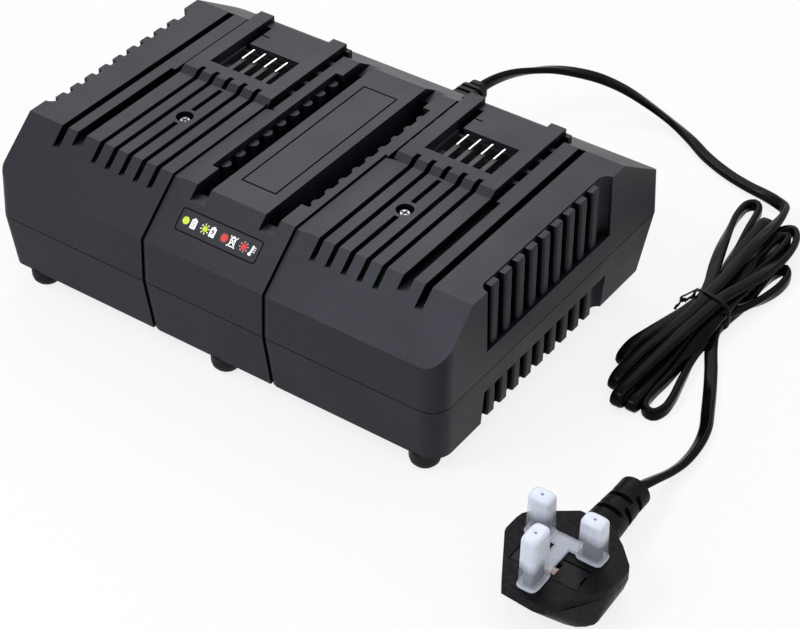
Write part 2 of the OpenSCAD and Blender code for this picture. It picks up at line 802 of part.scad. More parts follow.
// Smooth point on a route between two of its points
function route_point(p, i, t) =
    let (n = len(p), a = p[max(i - 1, 0)], b = p[i], c = p[min(i + 1, n - 1)], d = p[min(i + 2, n - 1)])
    0.5 * (2 * b + (c - a) * t + (2 * a - 5 * b + 4 * c - d) * t * t + (3 * b - a - 3 * c + d) * t * t * t);

function ring_points(p, centre, ahead) =
    let (side = unit(cross(ahead, [0, 0, 1])), up = cross(side, ahead))
    [for (k = [0 : 7]) centre + side * cord_w / 2 * cos(45 * k + 22.5) * 1.04 + up * cord_t / 2 * sin(45 * k + 22.5) * 1.04];

module flat_cord(p, per_span) {
    n = len(p);
    centres = [for (i = [0 : n - 2], s = [0 : per_span - 1]) route_point(p, i, s / per_span), p[n - 1]];
    m = len(centres);
    rings = [for (i = [0 : m - 1]) ring_points(p, centres[i],
        unit(centres[min(i + 1, m - 1)] - centres[max(i - 1, 0)]))];
    points = [for (r = rings) for (q = r) q];
    sides = [for (i = [0 : m - 2], k = [0 : 7])
        [i * 8 + k, i * 8 + (k + 1) % 8, (i + 1) * 8 + (k + 1) % 8, (i + 1) * 8 + k]];
    caps = [[for (k = [7 : -1 : 0]) k], [for (k = [0 : 7]) (m - 1) * 8 + k]];
    polyhedron(points, concat(sides, caps), convexity = 6);
}

module cord_lead() {
    color(soft_black) flat_cord(lead_route, 1);
}

module cord_tail() {
    color(soft_black) flat_cord(tail_route, 1);
}

module cord_hank() {
    color(soft_black) difference() {
        linear_extrude(hank_h) polygon(hank_outline);
        tie_ring();
    }
}

// Groove in the bundle that the tie lies in
module tie_ring() {
    translate([tie_x, tie_y, hank_h / 2]) rotate([90, 0, 0]) linear_extrude(2.6, center = true) difference() {
        square([tie_w + 4, hank_h + 4], center = true);
        square([tie_w - 2, hank_h - 2], center = true);
    }
}

module cord_tie() {
    color("#141416") translate([tie_x, tie_y, hank_h / 2]) rotate([90, 0, 0]) linear_extrude(2.4, center = true)
        difference() {
            square([tie_w, hank_h], center = true);
            square([tie_w - 1.9, hank_h - 1.9], center = true);
        }
}

// --- plug ---
plug_outline = [[-8.2, -30.4], [5.5, -31.3], [10, -30.1], [12.8, -27.4], [15.6, -22.4], [22.9, -12],
    [24.6, -8.8], [25.4, -3.6], [25.4, 1.9], [24.2, 4.2], [17, 11.6], [8.5, 18], [-5, 18], [-20.3, 6.8],
    [-22, 4.2], [-22.5, 1], [-22.6, -5.6], [-22, -7.4], [-9.9, -27.8]];
plug_back = [[-14, -18], [-6, -19.4], [4.4, -19.4], [12, -18.6], [15.8, -17.4], [18.7, -15.2],
    [20.7, -12.6], [21.1, -10.4], [20.3, 9], [18.5, 12], [9, 16.5], [-7, 16.5], [-17.6, 7],
    [-18.6, -9.5]];
flange_t = 4.5;
relief_x = 1;
relief_y = 15;
relief_l = 33.6;
relief_z = -10.6;
carrier_x = 0.8;
carrier_y = -12.1;
carrier_w = 28.8;
carrier_d = 10.8;
carrier_z = -9;
fuse_l = 25.4;
fuse_r = 3.1;
fuse_z = -4.6;

module at_plug() {
    translate([plug_x, plug_y, plug_z]) children();
}

module pin_row(w, t, l, z0) {
    for (s = [-1, 1]) translate([s * pin_span / 2, 0, 0]) slab(-w / 2, w / 2, -t / 2, t / 2, z0, l);
}

// Rectangle of the fuse carrier in the plug face, grown by gap
module carrier_block(gap, z0, z1) {
    w = carrier_w + 2 * gap;
    d = carrier_d + 2 * gap;
    translate([carrier_x, carrier_y, z0]) linear_extrude(z1 - z0) round_rect(w, d, 1);
}

module along_fuse(length) {
    translate([carrier_x, carrier_y, fuse_z]) rotate([0, 90, 0]) linear_extrude(length, center = true)
        children();
}

module plug_relief() {
    translate([relief_x, relief_y, relief_z]) rotate([-90, 0, 0]) difference() {
        union() {
            cylinder(h = relief_l, r1 = 8.3, r2 = 6.3);
            translate([0, 0, relief_l - 6]) cylinder(h = 6, r = 6.7);
        }
        // slots on four sides leave a flexible core
        for (z = [12.5, 21], a = [0, 180]) rotate([0, 0, a]) translate([-5.6, 4.4, z]) cube([11.2, 6, 2.4]);
        for (z = [16.8, 25.2], a = [90, 270]) rotate([0, 0, a]) translate([-5.6, 4.4, z])
            cube([11.2, 6, 2.4]);
    }
}

module plug_body() {
    color(soft_black) at_plug() difference() {
        union() {
            translate([0, 0, -flange_t]) linear_extrude(flange_t) polygon(plug_outline);
            hull() {
                translate([0, 0, -flange_t]) linear_extrude(0.1) polygon(plug_outline);
                translate([0, 0, -plug_z + 3]) linear_extrude(0.1) polygon(plug_back);
                translate([0, 0, -plug_z]) linear_extrude(0.1) scale([0.82, 0.82]) polygon(plug_back);
            }
            plug_relief();
        }
        pin_row(6.35, 4, 1, -6);
        translate([0, -pin_span, 0]) slab(-2, 2, -4, 4, -6, 1);
        carrier_block(0.15, carrier_z - 0.1, 1);
    }
}

module power_pins() {
    color("#d8d2b8") at_plug() pin_row(6.35, 4, power_pin_l, -6);
}

module earth_pin() {
    color("#d8d2b8") at_plug() translate([0, -pin_span, 0]) slab(-2, 2, -4, 4, -6, earth_pin_l);
}

module fuse_carrier() {
    color("#232326") at_plug() difference() {
        carrier_block(0, carrier_z, -0.3);
        along_fuse(fuse_l + 0.4) circle(fuse_r + 0.1);
        // window over the middle of the fuse and notch for prying the carrier out
        translate([carrier_x - 3.6, carrier_y - 3.2, fuse_z]) cube([7.2, 6.4, 10]);
        translate([carrier_x + carrier_w / 2 - 1.1, carrier_y - 2.1, -2]) cube([2, 4.2, 4]);
    }
}

module plug_fuse() {
    color("#c88870") at_plug() along_fuse(fuse_l) circle(fuse_r);
}

// --- pin cover ---
module cap_outline(w, t, cut) {
    polygon([[-w / 2 + cut, -t / 2], [w / 2 - cut, -t / 2], [w / 2, -t / 2 + cut], [w / 2, t / 2 - cut],
        [w / 2 - cut, t / 2], [-w / 2 + cut, t / 2], [-w / 2, t / 2 - cut], [-w / 2, -t / 2 + cut]]);
}

module cap(pin_w, pin_t, pin_l) {
    w = pin_w + 2 * (cover_gap + cover_wall);
    t = pin_t + 2 * (cover_gap + cover_wall);
    translate([0, 0, 0.3]) difference() {
        linear_extrude(pin_l + 1.2) cap_outline(w, t, 1.8);
        slab(-pin_w / 2 - cover_gap, pin_w / 2 + cover_gap, -pin_t / 2 - cover_gap,
            pin_t / 2 + cover_gap, -1, pin_l);
        cylinder(h = 60, r = 0.6);
    }
}

module pin_cover() {
    bar = 1.8;
    color("#e6e8ee") at_plug() {
        for (s = [-1, 1]) translate([s * pin_span / 2, 0, 0]) cap(6.35, 4, power_pin_l);
        translate([0, -pin_span, 0]) cap(4, 8, earth_pin_l);
        translate([0, 0, 0.3]) linear_extrude(bar) {
            square([pin_span - 9.6, 5.6], center = true);
            translate([-2.8, -pin_span + 5.4]) square([5.6, pin_span - 3]);
        }
    }
}

top_cover();
bottom_cover();
indicator_window();
indicator_lamps();
indicator_board();
left_terminal_block();
right_terminal_block();
left_terminal_blades();
right_terminal_blades();
left_terminal_wires();
right_terminal_wires();
bay_screws();
case_screws();
front_feet();
rear_feet();
circuit_board();
board_screws();
transformer_core();
transformer_winding();
main_capacitors();
filter_choke();
filter_capacitor();
board_fuse();
bridge_rectifier();
left_heat_sink();
right_heat_sink();
power_transistors();
mains_wires();
cord_clamp();
clamp_screws();
cord_grommet();
cord_lead();
cord_hank();
cord_tie();
cord_tail();
plug_body();
power_pins();
earth_pin();
plug_fuse();
fuse_carrier();
pin_cover();
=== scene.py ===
# %% [markdown]
# # A dual-bay battery charger
# The object is a mains charger for two slide-on battery packs. Two moulded covers hold the
# electronics, a flat cord leaves the back through a ribbed strain relief, and most of the cord
# is folded into a hank under a wire tie, with a moulded plug at its end.
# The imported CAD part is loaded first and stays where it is. Blender works in metres. Lengths are
# written in millimetres where MM turns them into metres, and in metres elsewhere.

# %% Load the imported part
import json
import math
import bmesh
import bpy
import numpy as np
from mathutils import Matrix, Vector

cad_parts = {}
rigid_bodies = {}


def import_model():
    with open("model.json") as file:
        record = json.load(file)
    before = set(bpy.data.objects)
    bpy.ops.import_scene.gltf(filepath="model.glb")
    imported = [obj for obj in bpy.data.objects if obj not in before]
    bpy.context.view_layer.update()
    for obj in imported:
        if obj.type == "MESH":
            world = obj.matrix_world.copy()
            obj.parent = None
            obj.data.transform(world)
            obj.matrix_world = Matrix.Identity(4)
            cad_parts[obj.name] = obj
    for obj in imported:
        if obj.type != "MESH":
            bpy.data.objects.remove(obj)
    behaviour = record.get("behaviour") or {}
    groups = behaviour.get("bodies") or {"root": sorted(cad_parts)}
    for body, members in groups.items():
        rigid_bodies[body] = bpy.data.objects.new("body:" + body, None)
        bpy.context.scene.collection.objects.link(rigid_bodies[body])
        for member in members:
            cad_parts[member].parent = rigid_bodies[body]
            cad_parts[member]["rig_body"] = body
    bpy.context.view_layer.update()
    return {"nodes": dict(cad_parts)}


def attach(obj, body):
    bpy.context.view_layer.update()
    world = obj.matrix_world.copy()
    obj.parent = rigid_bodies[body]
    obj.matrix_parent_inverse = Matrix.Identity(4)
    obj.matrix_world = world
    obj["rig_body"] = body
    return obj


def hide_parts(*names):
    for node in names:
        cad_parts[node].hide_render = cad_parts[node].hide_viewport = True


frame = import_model()
MM = 0.001
scene = bpy.context.scene

# %% [markdown]
# ## Camera
# The camera stands to the right and in front, 39 degrees above the bench, with a long lens so
# that the case keeps nearly parallel edges.

# %% Camera
def camera_at(azimuth, elevation, target, distance, lens):
    """The eye is the target plus distance along the unit vector (sin a cos e, -cos a cos e, sin e)."""
    a, e = math.radians(azimuth), math.radians(elevation)
    back = Vector((math.sin(a) * math.cos(e), -math.cos(a) * math.cos(e), math.sin(e)))
    cam = bpy.data.objects.new("camera", bpy.data.cameras.new("camera"))
    cam.data.lens = lens
    cam.data.sensor_width = 36
    cam.data.clip_start, cam.data.clip_end = 0.02, 30
    cam.location = Vector(target) + back * distance
    cam.rotation_mode = "QUATERNION"
    cam.rotation_quaternion = (-back).to_track_quat("-Z", "Y")
    scene.collection.objects.link(cam)
    scene.camera = cam
    return cam


camera = camera_at(azimuth=35.41, elevation=39.24, target=(0.06018, -0.03339, 0.030), distance=0.87434,
    lens=97.22)
scene.view_settings.view_transform = "Standard"
print("camera at", [round(v, 3) for v in camera.location])

# %% [markdown]
# ## Meshes from arrays
# Most new pieces are grids: an array of points with rows and columns, joined by quads. One
# function turns such a grid into a mesh object, so that each piece below only has to say where
# its points are.

# %% Grids and pieces
def mesh_object(name, points, faces, body, slot, smooth=True):
    """A mesh object at the origin, with its place in its points, riding on a body of the part."""
    mesh = bpy.data.meshes.new(name)
    mesh.from_pydata(np.asarray(points, float).reshape(-1, 3).tolist(), [], [list(face) for face in faces])
    mesh.update()
    mesh.polygons.foreach_set("use_smooth", [smooth] * len(mesh.polygons))
    piece = bpy.data.objects.new(name, mesh)
    scene.collection.objects.link(piece)
    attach(piece, body)
    return piece


def grid_faces(rows, columns, wrap_rows=False):
    """Quads between neighbouring grid points, as lists: (i, j), (i, j+1), (i+1, j+1), (i+1, j). The
    last column joins the first, and with wrap_rows the last row joins the first row too."""
    i, j = np.meshgrid(np.arange(rows if wrap_rows else rows - 1), np.arange(columns), indexing="ij")
    row, next_row, next_j = i * columns, (i + 1) % rows * columns, (j + 1) % columns
    quads = np.stack([row + j, row + next_j, next_row + next_j, next_row + j], -1)
    return quads.reshape(-1, 4).tolist()


def closed_tube(rings):
    """Points and faces of a tube from n rings of m points, each end closed by a fan on its centre."""
    n, m = rings.shape[:2]
    points = np.concatenate([rings.reshape(-1, 3), rings[0].mean(0)[None], rings[-1].mean(0)[None]])
    j = np.arange(m)
    first = np.stack([np.full(m, n * m), (j + 1) % m, j], -1)
    last = np.stack([np.full(m, n * m + 1), (n - 1) * m + j, (n - 1) * m + (j + 1) % m], -1)
    return points, grid_faces(n, m) + first.tolist() + last.tolist()


def face_outwards(piece):
    """Merges doubles, turns all faces outwards and hands the piece back."""
    bm = bmesh.new()
    bm.from_mesh(piece.data)
    bmesh.ops.remove_doubles(bm, verts=bm.verts, dist=1e-7)
    bmesh.ops.recalc_face_normals(bm, faces=bm.faces)
    bm.to_mesh(piece.data)
    bm.free()
    return piece


print("grid helpers ready")

# %% [markdown]
# ## The route of the cord
# The cord is flat, 5.6 mm wide and 3.3 mm thick. A flat cord bends easily over its thickness and
# hardly at all over its width, so it lies flat where it runs straight and stands on edge where it
# turns. Each listed point below is x, y, z in millimetres and a share of that turn: 0 lies
# flat, 1 stands on edge and -1 stands on edge turned the other way. A smooth curve goes through
# the points and is cut into equal steps.

# %% Smooth routes
CORD_W, CORD_T = 5.6 * MM, 3.3 * MM
PER_SPAN = 24   # points on the smooth curve between two given ones


def smooth_route(points, step):
    """Centripetal Catmull-Rom: between points b and c the curve blends the lines a-b, b-c and c-d,
    with knots spaced by the square root of the distance; then it is resampled every step."""
    p = np.asarray(points, float)
    p = np.vstack([2 * p[0] - p[1], p, 2 * p[-1] - p[-2]])
    a, b, c, d = p[:-3], p[1:-2], p[2:-1], p[3:]
    gap = lambda u, v: np.sqrt(np.linalg.norm((v - u)[:, :3], axis=1))[:, None, None]
    t1 = gap(a, b)
    t2 = t1 + gap(b, c)
    t3 = t2 + gap(c, d)
    s = np.linspace(0, 1, PER_SPAN, endpoint=False)[None, :, None]
    t = t1 + (t2 - t1) * s
    a, b, c, d = (v[:, None, :] for v in (a, b, c, d))
    ab = (t1 - t) / t1 * a + t / t1 * b
    bc = (t2 - t) / (t2 - t1) * b + (t - t1) / (t2 - t1) * c
    cd = (t3 - t) / (t3 - t2) * c + (t - t2) / (t3 - t2) * d
    abc = (t2 - t) / t2 * ab + t / t2 * bc
    bcd = (t3 - t) / (t3 - t1) * bc + (t - t1) / (t3 - t1) * cd
    curve = ((t2 - t) / (t2 - t1) * abc + (t - t1) / (t2 - t1) * bcd).reshape(-1, p.shape[1])
    curve = np.vstack([curve, p[-2]])
    run = np.concatenate([[0], np.cumsum(np.linalg.norm(np.diff(curve[:, :3], axis=0), axis=1))])
    at = np.linspace(0, run[-1], max(int(round(run[-1] / step)) + 1, 2))
    return np.stack([np.interp(at, run, curve[:, k]) for k in range(p.shape[1])], 1)


def length_of(path):
    """The sum of the distances between neighbouring points."""
    return float(np.linalg.norm(np.diff(path[:, :3], axis=0), axis=1).sum())


LEAD = [
    (0, 113, 37, -1), (0.6, 117, 37.4, -0.95), (1.9, 124.1, 37.3, -0.83), (3.9, 135.2, 35.3, -0.62),
    (7.2, 147.2, 31.9, -0.35), (12.2, 159, 28.2, -0.12), (19.3, 169.3, 23.8, 0.12), (28, 177.9, 18.9, 0.15),
    (38.2, 184.2, 13, -0.05), (50.3, 186, 8, -0.3), (63.6, 184.8, 4.1, -0.4), (76.7, 179.6, 2.7, -0.18),
    (90.1, 171.6, 2.4, -0.03), (104.2, 165.5, 2.4, 0), (116.3, 162, 2.6, 0.02), (126.2, 159.7, 3.2, 0.15),
    (133.2, 156.7, 4.4, 0.4),
]
print("lead", round(length_of(smooth_route(LEAD, 2)) * MM, 3), "m")

# %% [markdown]
# ## The hank
# The cord runs eleven times through the tie, so there are five folds at each end. A flat cord can
# turn back in two ways. It can lie on its broad side and turn down and under itself, which leaves
# a short blunt end, or it can stand on edge and turn round in a small open loop. This hank has
# both: the runs lie flat in layers at the tie, and fan out towards the folds.

# %% Runs and folds of the hank
HANK = [
    # down over the top of the bundle, and down and under at the front
    (140.4, 152.4, 5.6, 0.9), (142.9, 144.5, 7.6, 0.7), (144.4, 133, 9.6, 0.3), (145.2, 116, 11, 0),
    (146, 96, 12, 0), (146.9, 70, 12.2, 0), (146.4, 56, 11.8, 0), (143.6, 40, 10.9, 0),
    (140.9, 24, 10.1, 0), (140.1, 12, 9.5, 0), (139.9, 6.6, 8.3, 0), (139.8, 4.6, 5.8, 0),
    (139.8, 6.6, 3.2, 0), (139.9, 12, 2, 0), (140.4, 30, 1.9, 0), (142.2, 50, 1.9, 0),
    # up to the tall loop at the back left
    (144, 70, 1.9, 0), (142.6, 84, 2, 0), (139.6, 98, 2.4, 0.2), (136.6, 112, 2.8, 0.6),
    (133.4, 130, 2.8, 1), (131.2, 143, 2.8, 1), (129.6, 148.4, 2.9, 1), (126.8, 150.4, 3, 1),
    (124.2, 147.6, 3.1, 1), (124, 140, 3.3, 1), (126.6, 127, 4.4, 0.8), (131.4, 110, 6.4, 0.4),
    (137, 93, 8, 0.1),
    # down along the left edge, and down and under at the front
    (141.4, 81, 8.6, 0), (143.8, 70, 8.8, 0), (142.6, 60, 9, 0), (139.8, 48, 9.4, 0), (137.2, 37.2, 9.5, 0),
    (135.3, 28.2, 9.5, 0), (134.9, 22.8, 8.9, 0), (134.7, 20, 7.4, 0), (134.7, 19.2, 5.8, 0),
    (134.8, 20, 4.2, 0), (135.6, 22.8, 2.8, 0), (137.6, 29.2, 3.4, 0), (141, 44.6, 5.4, 0),
    (143.2, 58, 5.4, 0),
    # up inside, and down and under at the back
    (144, 70, 5.3, 0), (143.2, 84, 5.3, 0), (141, 100, 5.4, 0), (139.2, 116, 5.8, 0), (138.4, 130, 6.2, 0),
    (138.2, 137, 6, 0), (138.2, 139.6, 5.2, 0), (138.2, 140.4, 4, 0), (138.3, 139.6, 2.8, 0),
    (138.6, 137, 2, 0), (139.6, 126, 1.9, 0), (142.4, 106, 1.9, 0), (146.4, 86, 1.9, 0),
    # down at the bottom, and up and over at the front
    (149.5, 70, 1.9, 0), (148.6, 54, 1.9, 0), (146.8, 36, 1.9, 0), (145.8, 18, 1.9, 0), (145.6, 5, 2, 0),
    (145.7, -1.2, 3, 0), (145.8, -3.4, 5, 0), (145.8, -3.4, 6.8, 0), (146, -1.4, 8.8, 0),
    (146.6, 5, 9.9, 0), (147.6, 22, 10.6, 0), (149.4, 44, 11.4, 0), (151.4, 60, 12, 0),
    # up over the top to the outer one of the nested loops
    (152.6, 72, 12.2, 0), (155, 86, 11.2, 0), (157.2, 102, 9.4, 0.1), (157.8, 116, 7.6, 0.4),
    (156.8, 128, 5.8, 0.8), (154.2, 137, 4.6, 1), (150.2, 141.4, 4, 1), (146.6, 139.4, 3.4, 1),
    (145, 132, 3, 1), (145.2, 120, 2.8, 0.8), (146.4, 104, 3.4, 0.3), (148.2, 88, 4.6, 0),
    # down inside, and up and over at the front
    (149.5, 70, 5.3, 0), (150.6, 54, 4.6, 0), (151.6, 38, 2.6, 0), (151.6, 22, 1.9, 0), (151.4, 8, 1.9, 0),
    (151.3, 1, 2.2, 0), (151.3, -1.2, 3.4, 0), (151.3, -1, 5, 0), (151.2, 2.6, 6, 0), (150.6, 14, 6, 0),
    (149.8, 34, 6.2, 0), (149.4, 54, 7.8, 0),
    # up to the inner one of the nested loops
    (149.5, 70, 8.7, 0), (149.6, 86, 8, 0), (149, 102, 6.8, 0.3), (148.6, 116, 6, 0.9),
    (148.6, 127, 5.8, 1), (149.8, 132.4, 5.8, 1), (152, 132.6, 5.8, 1), (153.2, 127, 5.8, 1),
    (153.6, 114, 6, 0.8), (153.8, 98, 6.6, 0.3), (154.6, 84, 7.8, 0),
    # down at the right to the wide open loop at the front
    (155, 70, 8.7, 0), (155, 58, 8, 0.1), (154.7, 46, 6.4, 0.4), (154.4, 34, 4.4, 0.8), (154.4, 22, 3, 1),
    (154, 12, 2.9, 1), (154.7, 5, 2.9, 1), (157.2, 1, 2.9, 1), (160.7, 0.8, 2.9, 1), (162.8, 5.4, 2.9, 1),
    (162.4, 12.8, 2.9, 1), (160.6, 21.4, 2.9, 1), (158, 32.9, 2.8, 0.9), (155.5, 45, 2.4, 0.5),
    (154.8, 57, 1.9, 0.1),
    # up to the short open loop at the right
    (155, 70, 1.9, 0), (156, 84, 2.1, 0.1), (156.6, 98, 2.7, 0.7), (157.2, 110, 2.8, 1),
    (159.6, 115.8, 2.8, 1), (162.8, 112.6, 2.8, 1), (163.8, 104, 2.8, 1), (161.8, 92, 3.2, 0.8),
    (158.6, 81, 4.4, 0.4),
    # down and out towards the plug
    (155.3, 69, 5.3, 0.1), (155.9, 58.8, 3.4, 0.1), (158.6, 52.4, 2.2, 0.1),
]
TAIL = [
    (161.6, 46.8, 1.9, 0.1), (165, 40.8, 1.9, 0.1), (168.2, 34.7, 1.9, 0.1), (171.3, 28.6, 1.9, 0.2),
    (177.1, 16.4, 2, 0.3), (181.7, 6.1, 2.1, 0.4), (184.2, -5, 2.2, 0.5), (184.8, -17, 3, 0.5),
    (184, -27, 5, 0.5), (182.6, -37, 8.2, 0.4), (181.3, -46, 10.6, 0.3), (181, -51.6, 10.9, 0.3),
]
CORD_STEP = 1.6
TIE_X, TIE_Y, TIE_Z, TIE_THICK = 149.4, 67.6, 7.75, 0.8
LIFT_REACH, BUNDLE_LEFT = 12, 138
whole_route = smooth_route(np.array(LEAD + HANK + TAIL), CORD_STEP)
# the tie passes under the bundle and lifts it by its own thickness, less and less away from it
lift = TIE_THICK * np.exp(-((whole_route[:, 1] - TIE_Y) / LIFT_REACH) ** 2)
whole_route[:, 2] += lift * (whole_route[:, 0] > BUNDLE_LEFT)
whole_route[:, :3] *= MM
cord_length = length_of(whole_route)
print("whole cord", round(cord_length, 3), "m,", len(whole_route), "steps")
print("its lowest centre, mm:", round(whole_route[:, 2].min() / MM, 2))

# %% [markdown]
# ## The cord as a swept section
# The section is a flat oval with a faint hollow along the middle of each broad side, where the
# two cores lie side by side. A plain sweep would need to know which way is up, and that breaks
# where the cord turns straight down. So the width is carried by the line that the cord follows in
# plan, which stays the same when the cord doubles back over itself, and is turned from that
# by the on-edge share.

# %% Sweep the flat cord
SECTION_POWER, HOLLOW_SHARE = 3.4, 0.16


def superellipse(t, a, b, power):
    """Points of |x/a|^n + |y/b|^n = 1 for the angles t, with n the power: 2 is an ellipse, and a
    higher power comes closer to a rectangle."""
    c, s = np.cos(t), np.sin(t)
    return np.sign(c) * np.abs(c) ** (2 / power) * a, np.sign(s) * np.abs(s) ** (2 / power) * b


def cord_section(width, thick, count=28, hollow=0.04):
    """A superellipse whose broad sides are drawn in by hollow times a bell curve in the middle."""
    t = (np.arange(count) + 0.5) / count * 2 * np.pi
    x, y = superellipse(t, width / 2, thick / 2, SECTION_POWER)
    return x, y * (1 - hollow * np.exp(-(x / (HOLLOW_SHARE * width)) ** 2))


def smoothed(values, passes):
    """Each pass replaces a value by a quarter, a half and a quarter of it and its neighbours."""
    v = values.copy()
    for _ in range(passes):
        v[1:-1] = 0.25 * v[:-2] + 0.5 * v[1:-1] + 0.25 * v[2:]
    return v


def unit(vectors):
    """Each vector divided by its own length."""
    return vectors / np.linalg.norm(vectors, axis=-1, keepdims=True)


def sweep_flat(route, width, thick, twist_passes=8, section=cord_section):
    """Rings along the route. T is the direction, and its line in plan has the doubled angle
    (x2 - y2, 2xy), which is averaged along the cord and halved again, so that T and -T count as one
    line. H is square to that line, W = H cos a + Z sin a made square to T carries the width, and
    N = T x W the thickness, where a is 90 degrees times the on-edge share."""
    path, edge = route[:, :3], smoothed(route[:, 3], twist_passes) * np.pi / 2
    T = unit(np.gradient(path, axis=0))
    doubled = np.stack([T[:, 0] ** 2 - T[:, 1] ** 2, 2 * T[:, 0] * T[:, 1]], 1)
    doubled = smoothed(doubled, twist_passes)
    angle = 0.5 * np.arctan2(doubled[:, 1], doubled[:, 0])
    H = np.stack([-np.sin(angle), np.cos(angle), 0 * angle], 1)
    turned = np.where((H[1:] * H[:-1]).sum(1) < 0, -1.0, 1.0)
    H[1:] *= np.cumprod(turned)[:, None]
    W = H * np.cos(edge)[:, None] + np.array([0, 0, 1.0]) * np.sin(edge)[:, None]
    W = unit(W - (W * T).sum(1)[:, None] * T)
    N = np.cross(T, W)
    x, y = section(width, thick)
    return path[:, None] + W[:, None] * x[None, :, None] + N[:, None] * y[None, :, None]


def uv_along(piece, rows, columns, length):
    """UV in metres along the piece and in shares round it, so that a pattern can follow it."""
    layer = piece.data.uv_layers.new(name="along")
    index = np.zeros(len(piece.data.loops), int)
    piece.data.loops.foreach_get("vertex_index", index)
    row = np.minimum(index // columns, rows - 1)
    uv = np.stack([row / (rows - 1) * length, (index % columns) / columns], 1)
    layer.data.foreach_set("uv", uv.ravel())


def tube_piece(name, rings, length, body, slot):
    """A closed tube from rings, with its UV along it, riding on a body."""
    piece = mesh_object(name, *closed_tube(rings), body, slot)
    uv_along(piece, *rings.shape[:2], length)
    return face_outwards(piece)


TABLE_GAP = 0.02 * MM   # the cord is pressed flat this far above the table
rings = sweep_flat(whole_route, CORD_W, CORD_T)
rings[..., 2] = np.maximum(rings[..., 2], TABLE_GAP)
mains_cord = tube_piece("mains_cord", rings, cord_length, "charger", "cord_black")
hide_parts("cord_lead", "cord_hank", "cord_tail")
print("mains cord:", len(mains_cord.data.polygons), "faces")

# %% [markdown]
# ## The tie round the bundle
# A twist tie is a thin wire in a flat black sleeve. It goes once round the bundle, and its two
# ends are twisted together at the left and bent away. The loop is a rounded box worked out in one
# plane, and the ends are strips whose on-edge share keeps growing, which twists them.

# %% Loop and twisted ends of the tie
def tie_loop(count=96, half_w=9.5, half_h=7.3, power=3.2, lean=0.2, width=2.0):
    """Superellipse in a leaning plane. The axis is the plane's normal and carries the width of the
    strip, and N = T x axis points outwards and carries its thickness."""
    x, z = superellipse(np.linspace(0, 2 * np.pi, count, endpoint=False), half_w, half_h, power)
    centre = np.stack([TIE_X + x, TIE_Y - lean * x, TIE_Z + z], 1) * MM
    axis = unit(np.array([lean, 1.0, 0.0]))
    T = unit(np.roll(centre, -1, 0) - np.roll(centre, 1, 0))
    N = np.cross(T, axis)
    a, b = cord_section(width * MM, TIE_THICK * MM, 12, 0)
    return centre[:, None] + axis[None, None] * a[None, :, None] + N[:, None] * b[None, :, None]


loop = tie_loop()
tie_band = mesh_object("tie_band", loop, grid_faces(*loop.shape[:2], wrap_rows=True), "charger", "tie_black")
face_outwards(tie_band)
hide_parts("cord_tie")


TWIST_RADIUS, TWIST_STEP, TWIST_FADE = 0.42, 0.25, 0.1
STRIP_W, STRIP_T = 1.25, 0.55


def tie_end(name, route, phase, twisted_part, turns=2.2):
    """The centreline circles the given route over its twisted part and then falls back onto it, and
    the strip turns with it: offset = radius (0, cos p, sin p), with the phase p growing on the way."""
    r = smooth_route(np.array(route), TWIST_STEP)
    s = np.linspace(0, 1, len(r))
    p = phase + 2 * np.pi * turns * np.minimum(s / twisted_part, 1)
    radius = TWIST_RADIUS * np.clip((twisted_part + TWIST_FADE - s) / TWIST_FADE, 0, 1)
    r[:, 1] += radius * np.cos(p)
    r[:, 2] += radius * np.sin(p)
    r[:, :3] *= MM
    band = sweep_flat(np.column_stack([r[:, :3], p / (np.pi / 2)]), STRIP_W * MM, STRIP_T * MM, 2,
        lambda w, t: cord_section(w, t, 10, 0))
    return tube_piece(name, band, length_of(r), "charger", "tie_black")


LONG_END = [(140.3, 69.4, 9.5), (138.6, 69.2, 8.2), (136.6, 68.8, 6.4), (134.6, 69, 5), (133.4, 70.4, 4.4),
    (133.8, 73.4, 4.2), (135, 77.4, 4.2), (136.2, 80.6, 4.4)]
SHORT_END = [(140.3, 69.4, 8.5), (138.6, 69.2, 7.6), (136.6, 68.8, 5.8), (134.8, 68, 4.4), (133.8, 66.8, 3),
    (133.4, 66, 1.4)]
tie_ends = [tie_end("tie_end_long", LONG_END, 0.0, 0.55), tie_end("tie_end_short", SHORT_END, np.pi, 0.75)]
print("tie: a loop and", len(tie_ends), "ends")

# %% [markdown]
# ## Softer edges for the moulded and stamped pieces
# No moulded edge is razor sharp, and the thin bright line that a rounded edge catches is what makes
# plastic look like plastic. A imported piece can't be changed, so each of these pieces is a copy of
# it: its loose triangles are merged, flat neighbours are dissolved, and a live bevel rounds every
# edge that is sharper than an angle. Gentle folds between two large faces stay crisp, and a
# weighted normal keeps the large faces flat while the small ones beside them turn.

# %% Bevelled copies
MERGE = 0.02 * MM                        # points closer than this become one
FLAT_FOLD, CRISP_FOLD, BEVEL_FOLD = (math.radians(degrees) for degrees in (0.6, 4, 28))
CRISP_AREA = 40 * MM * MM


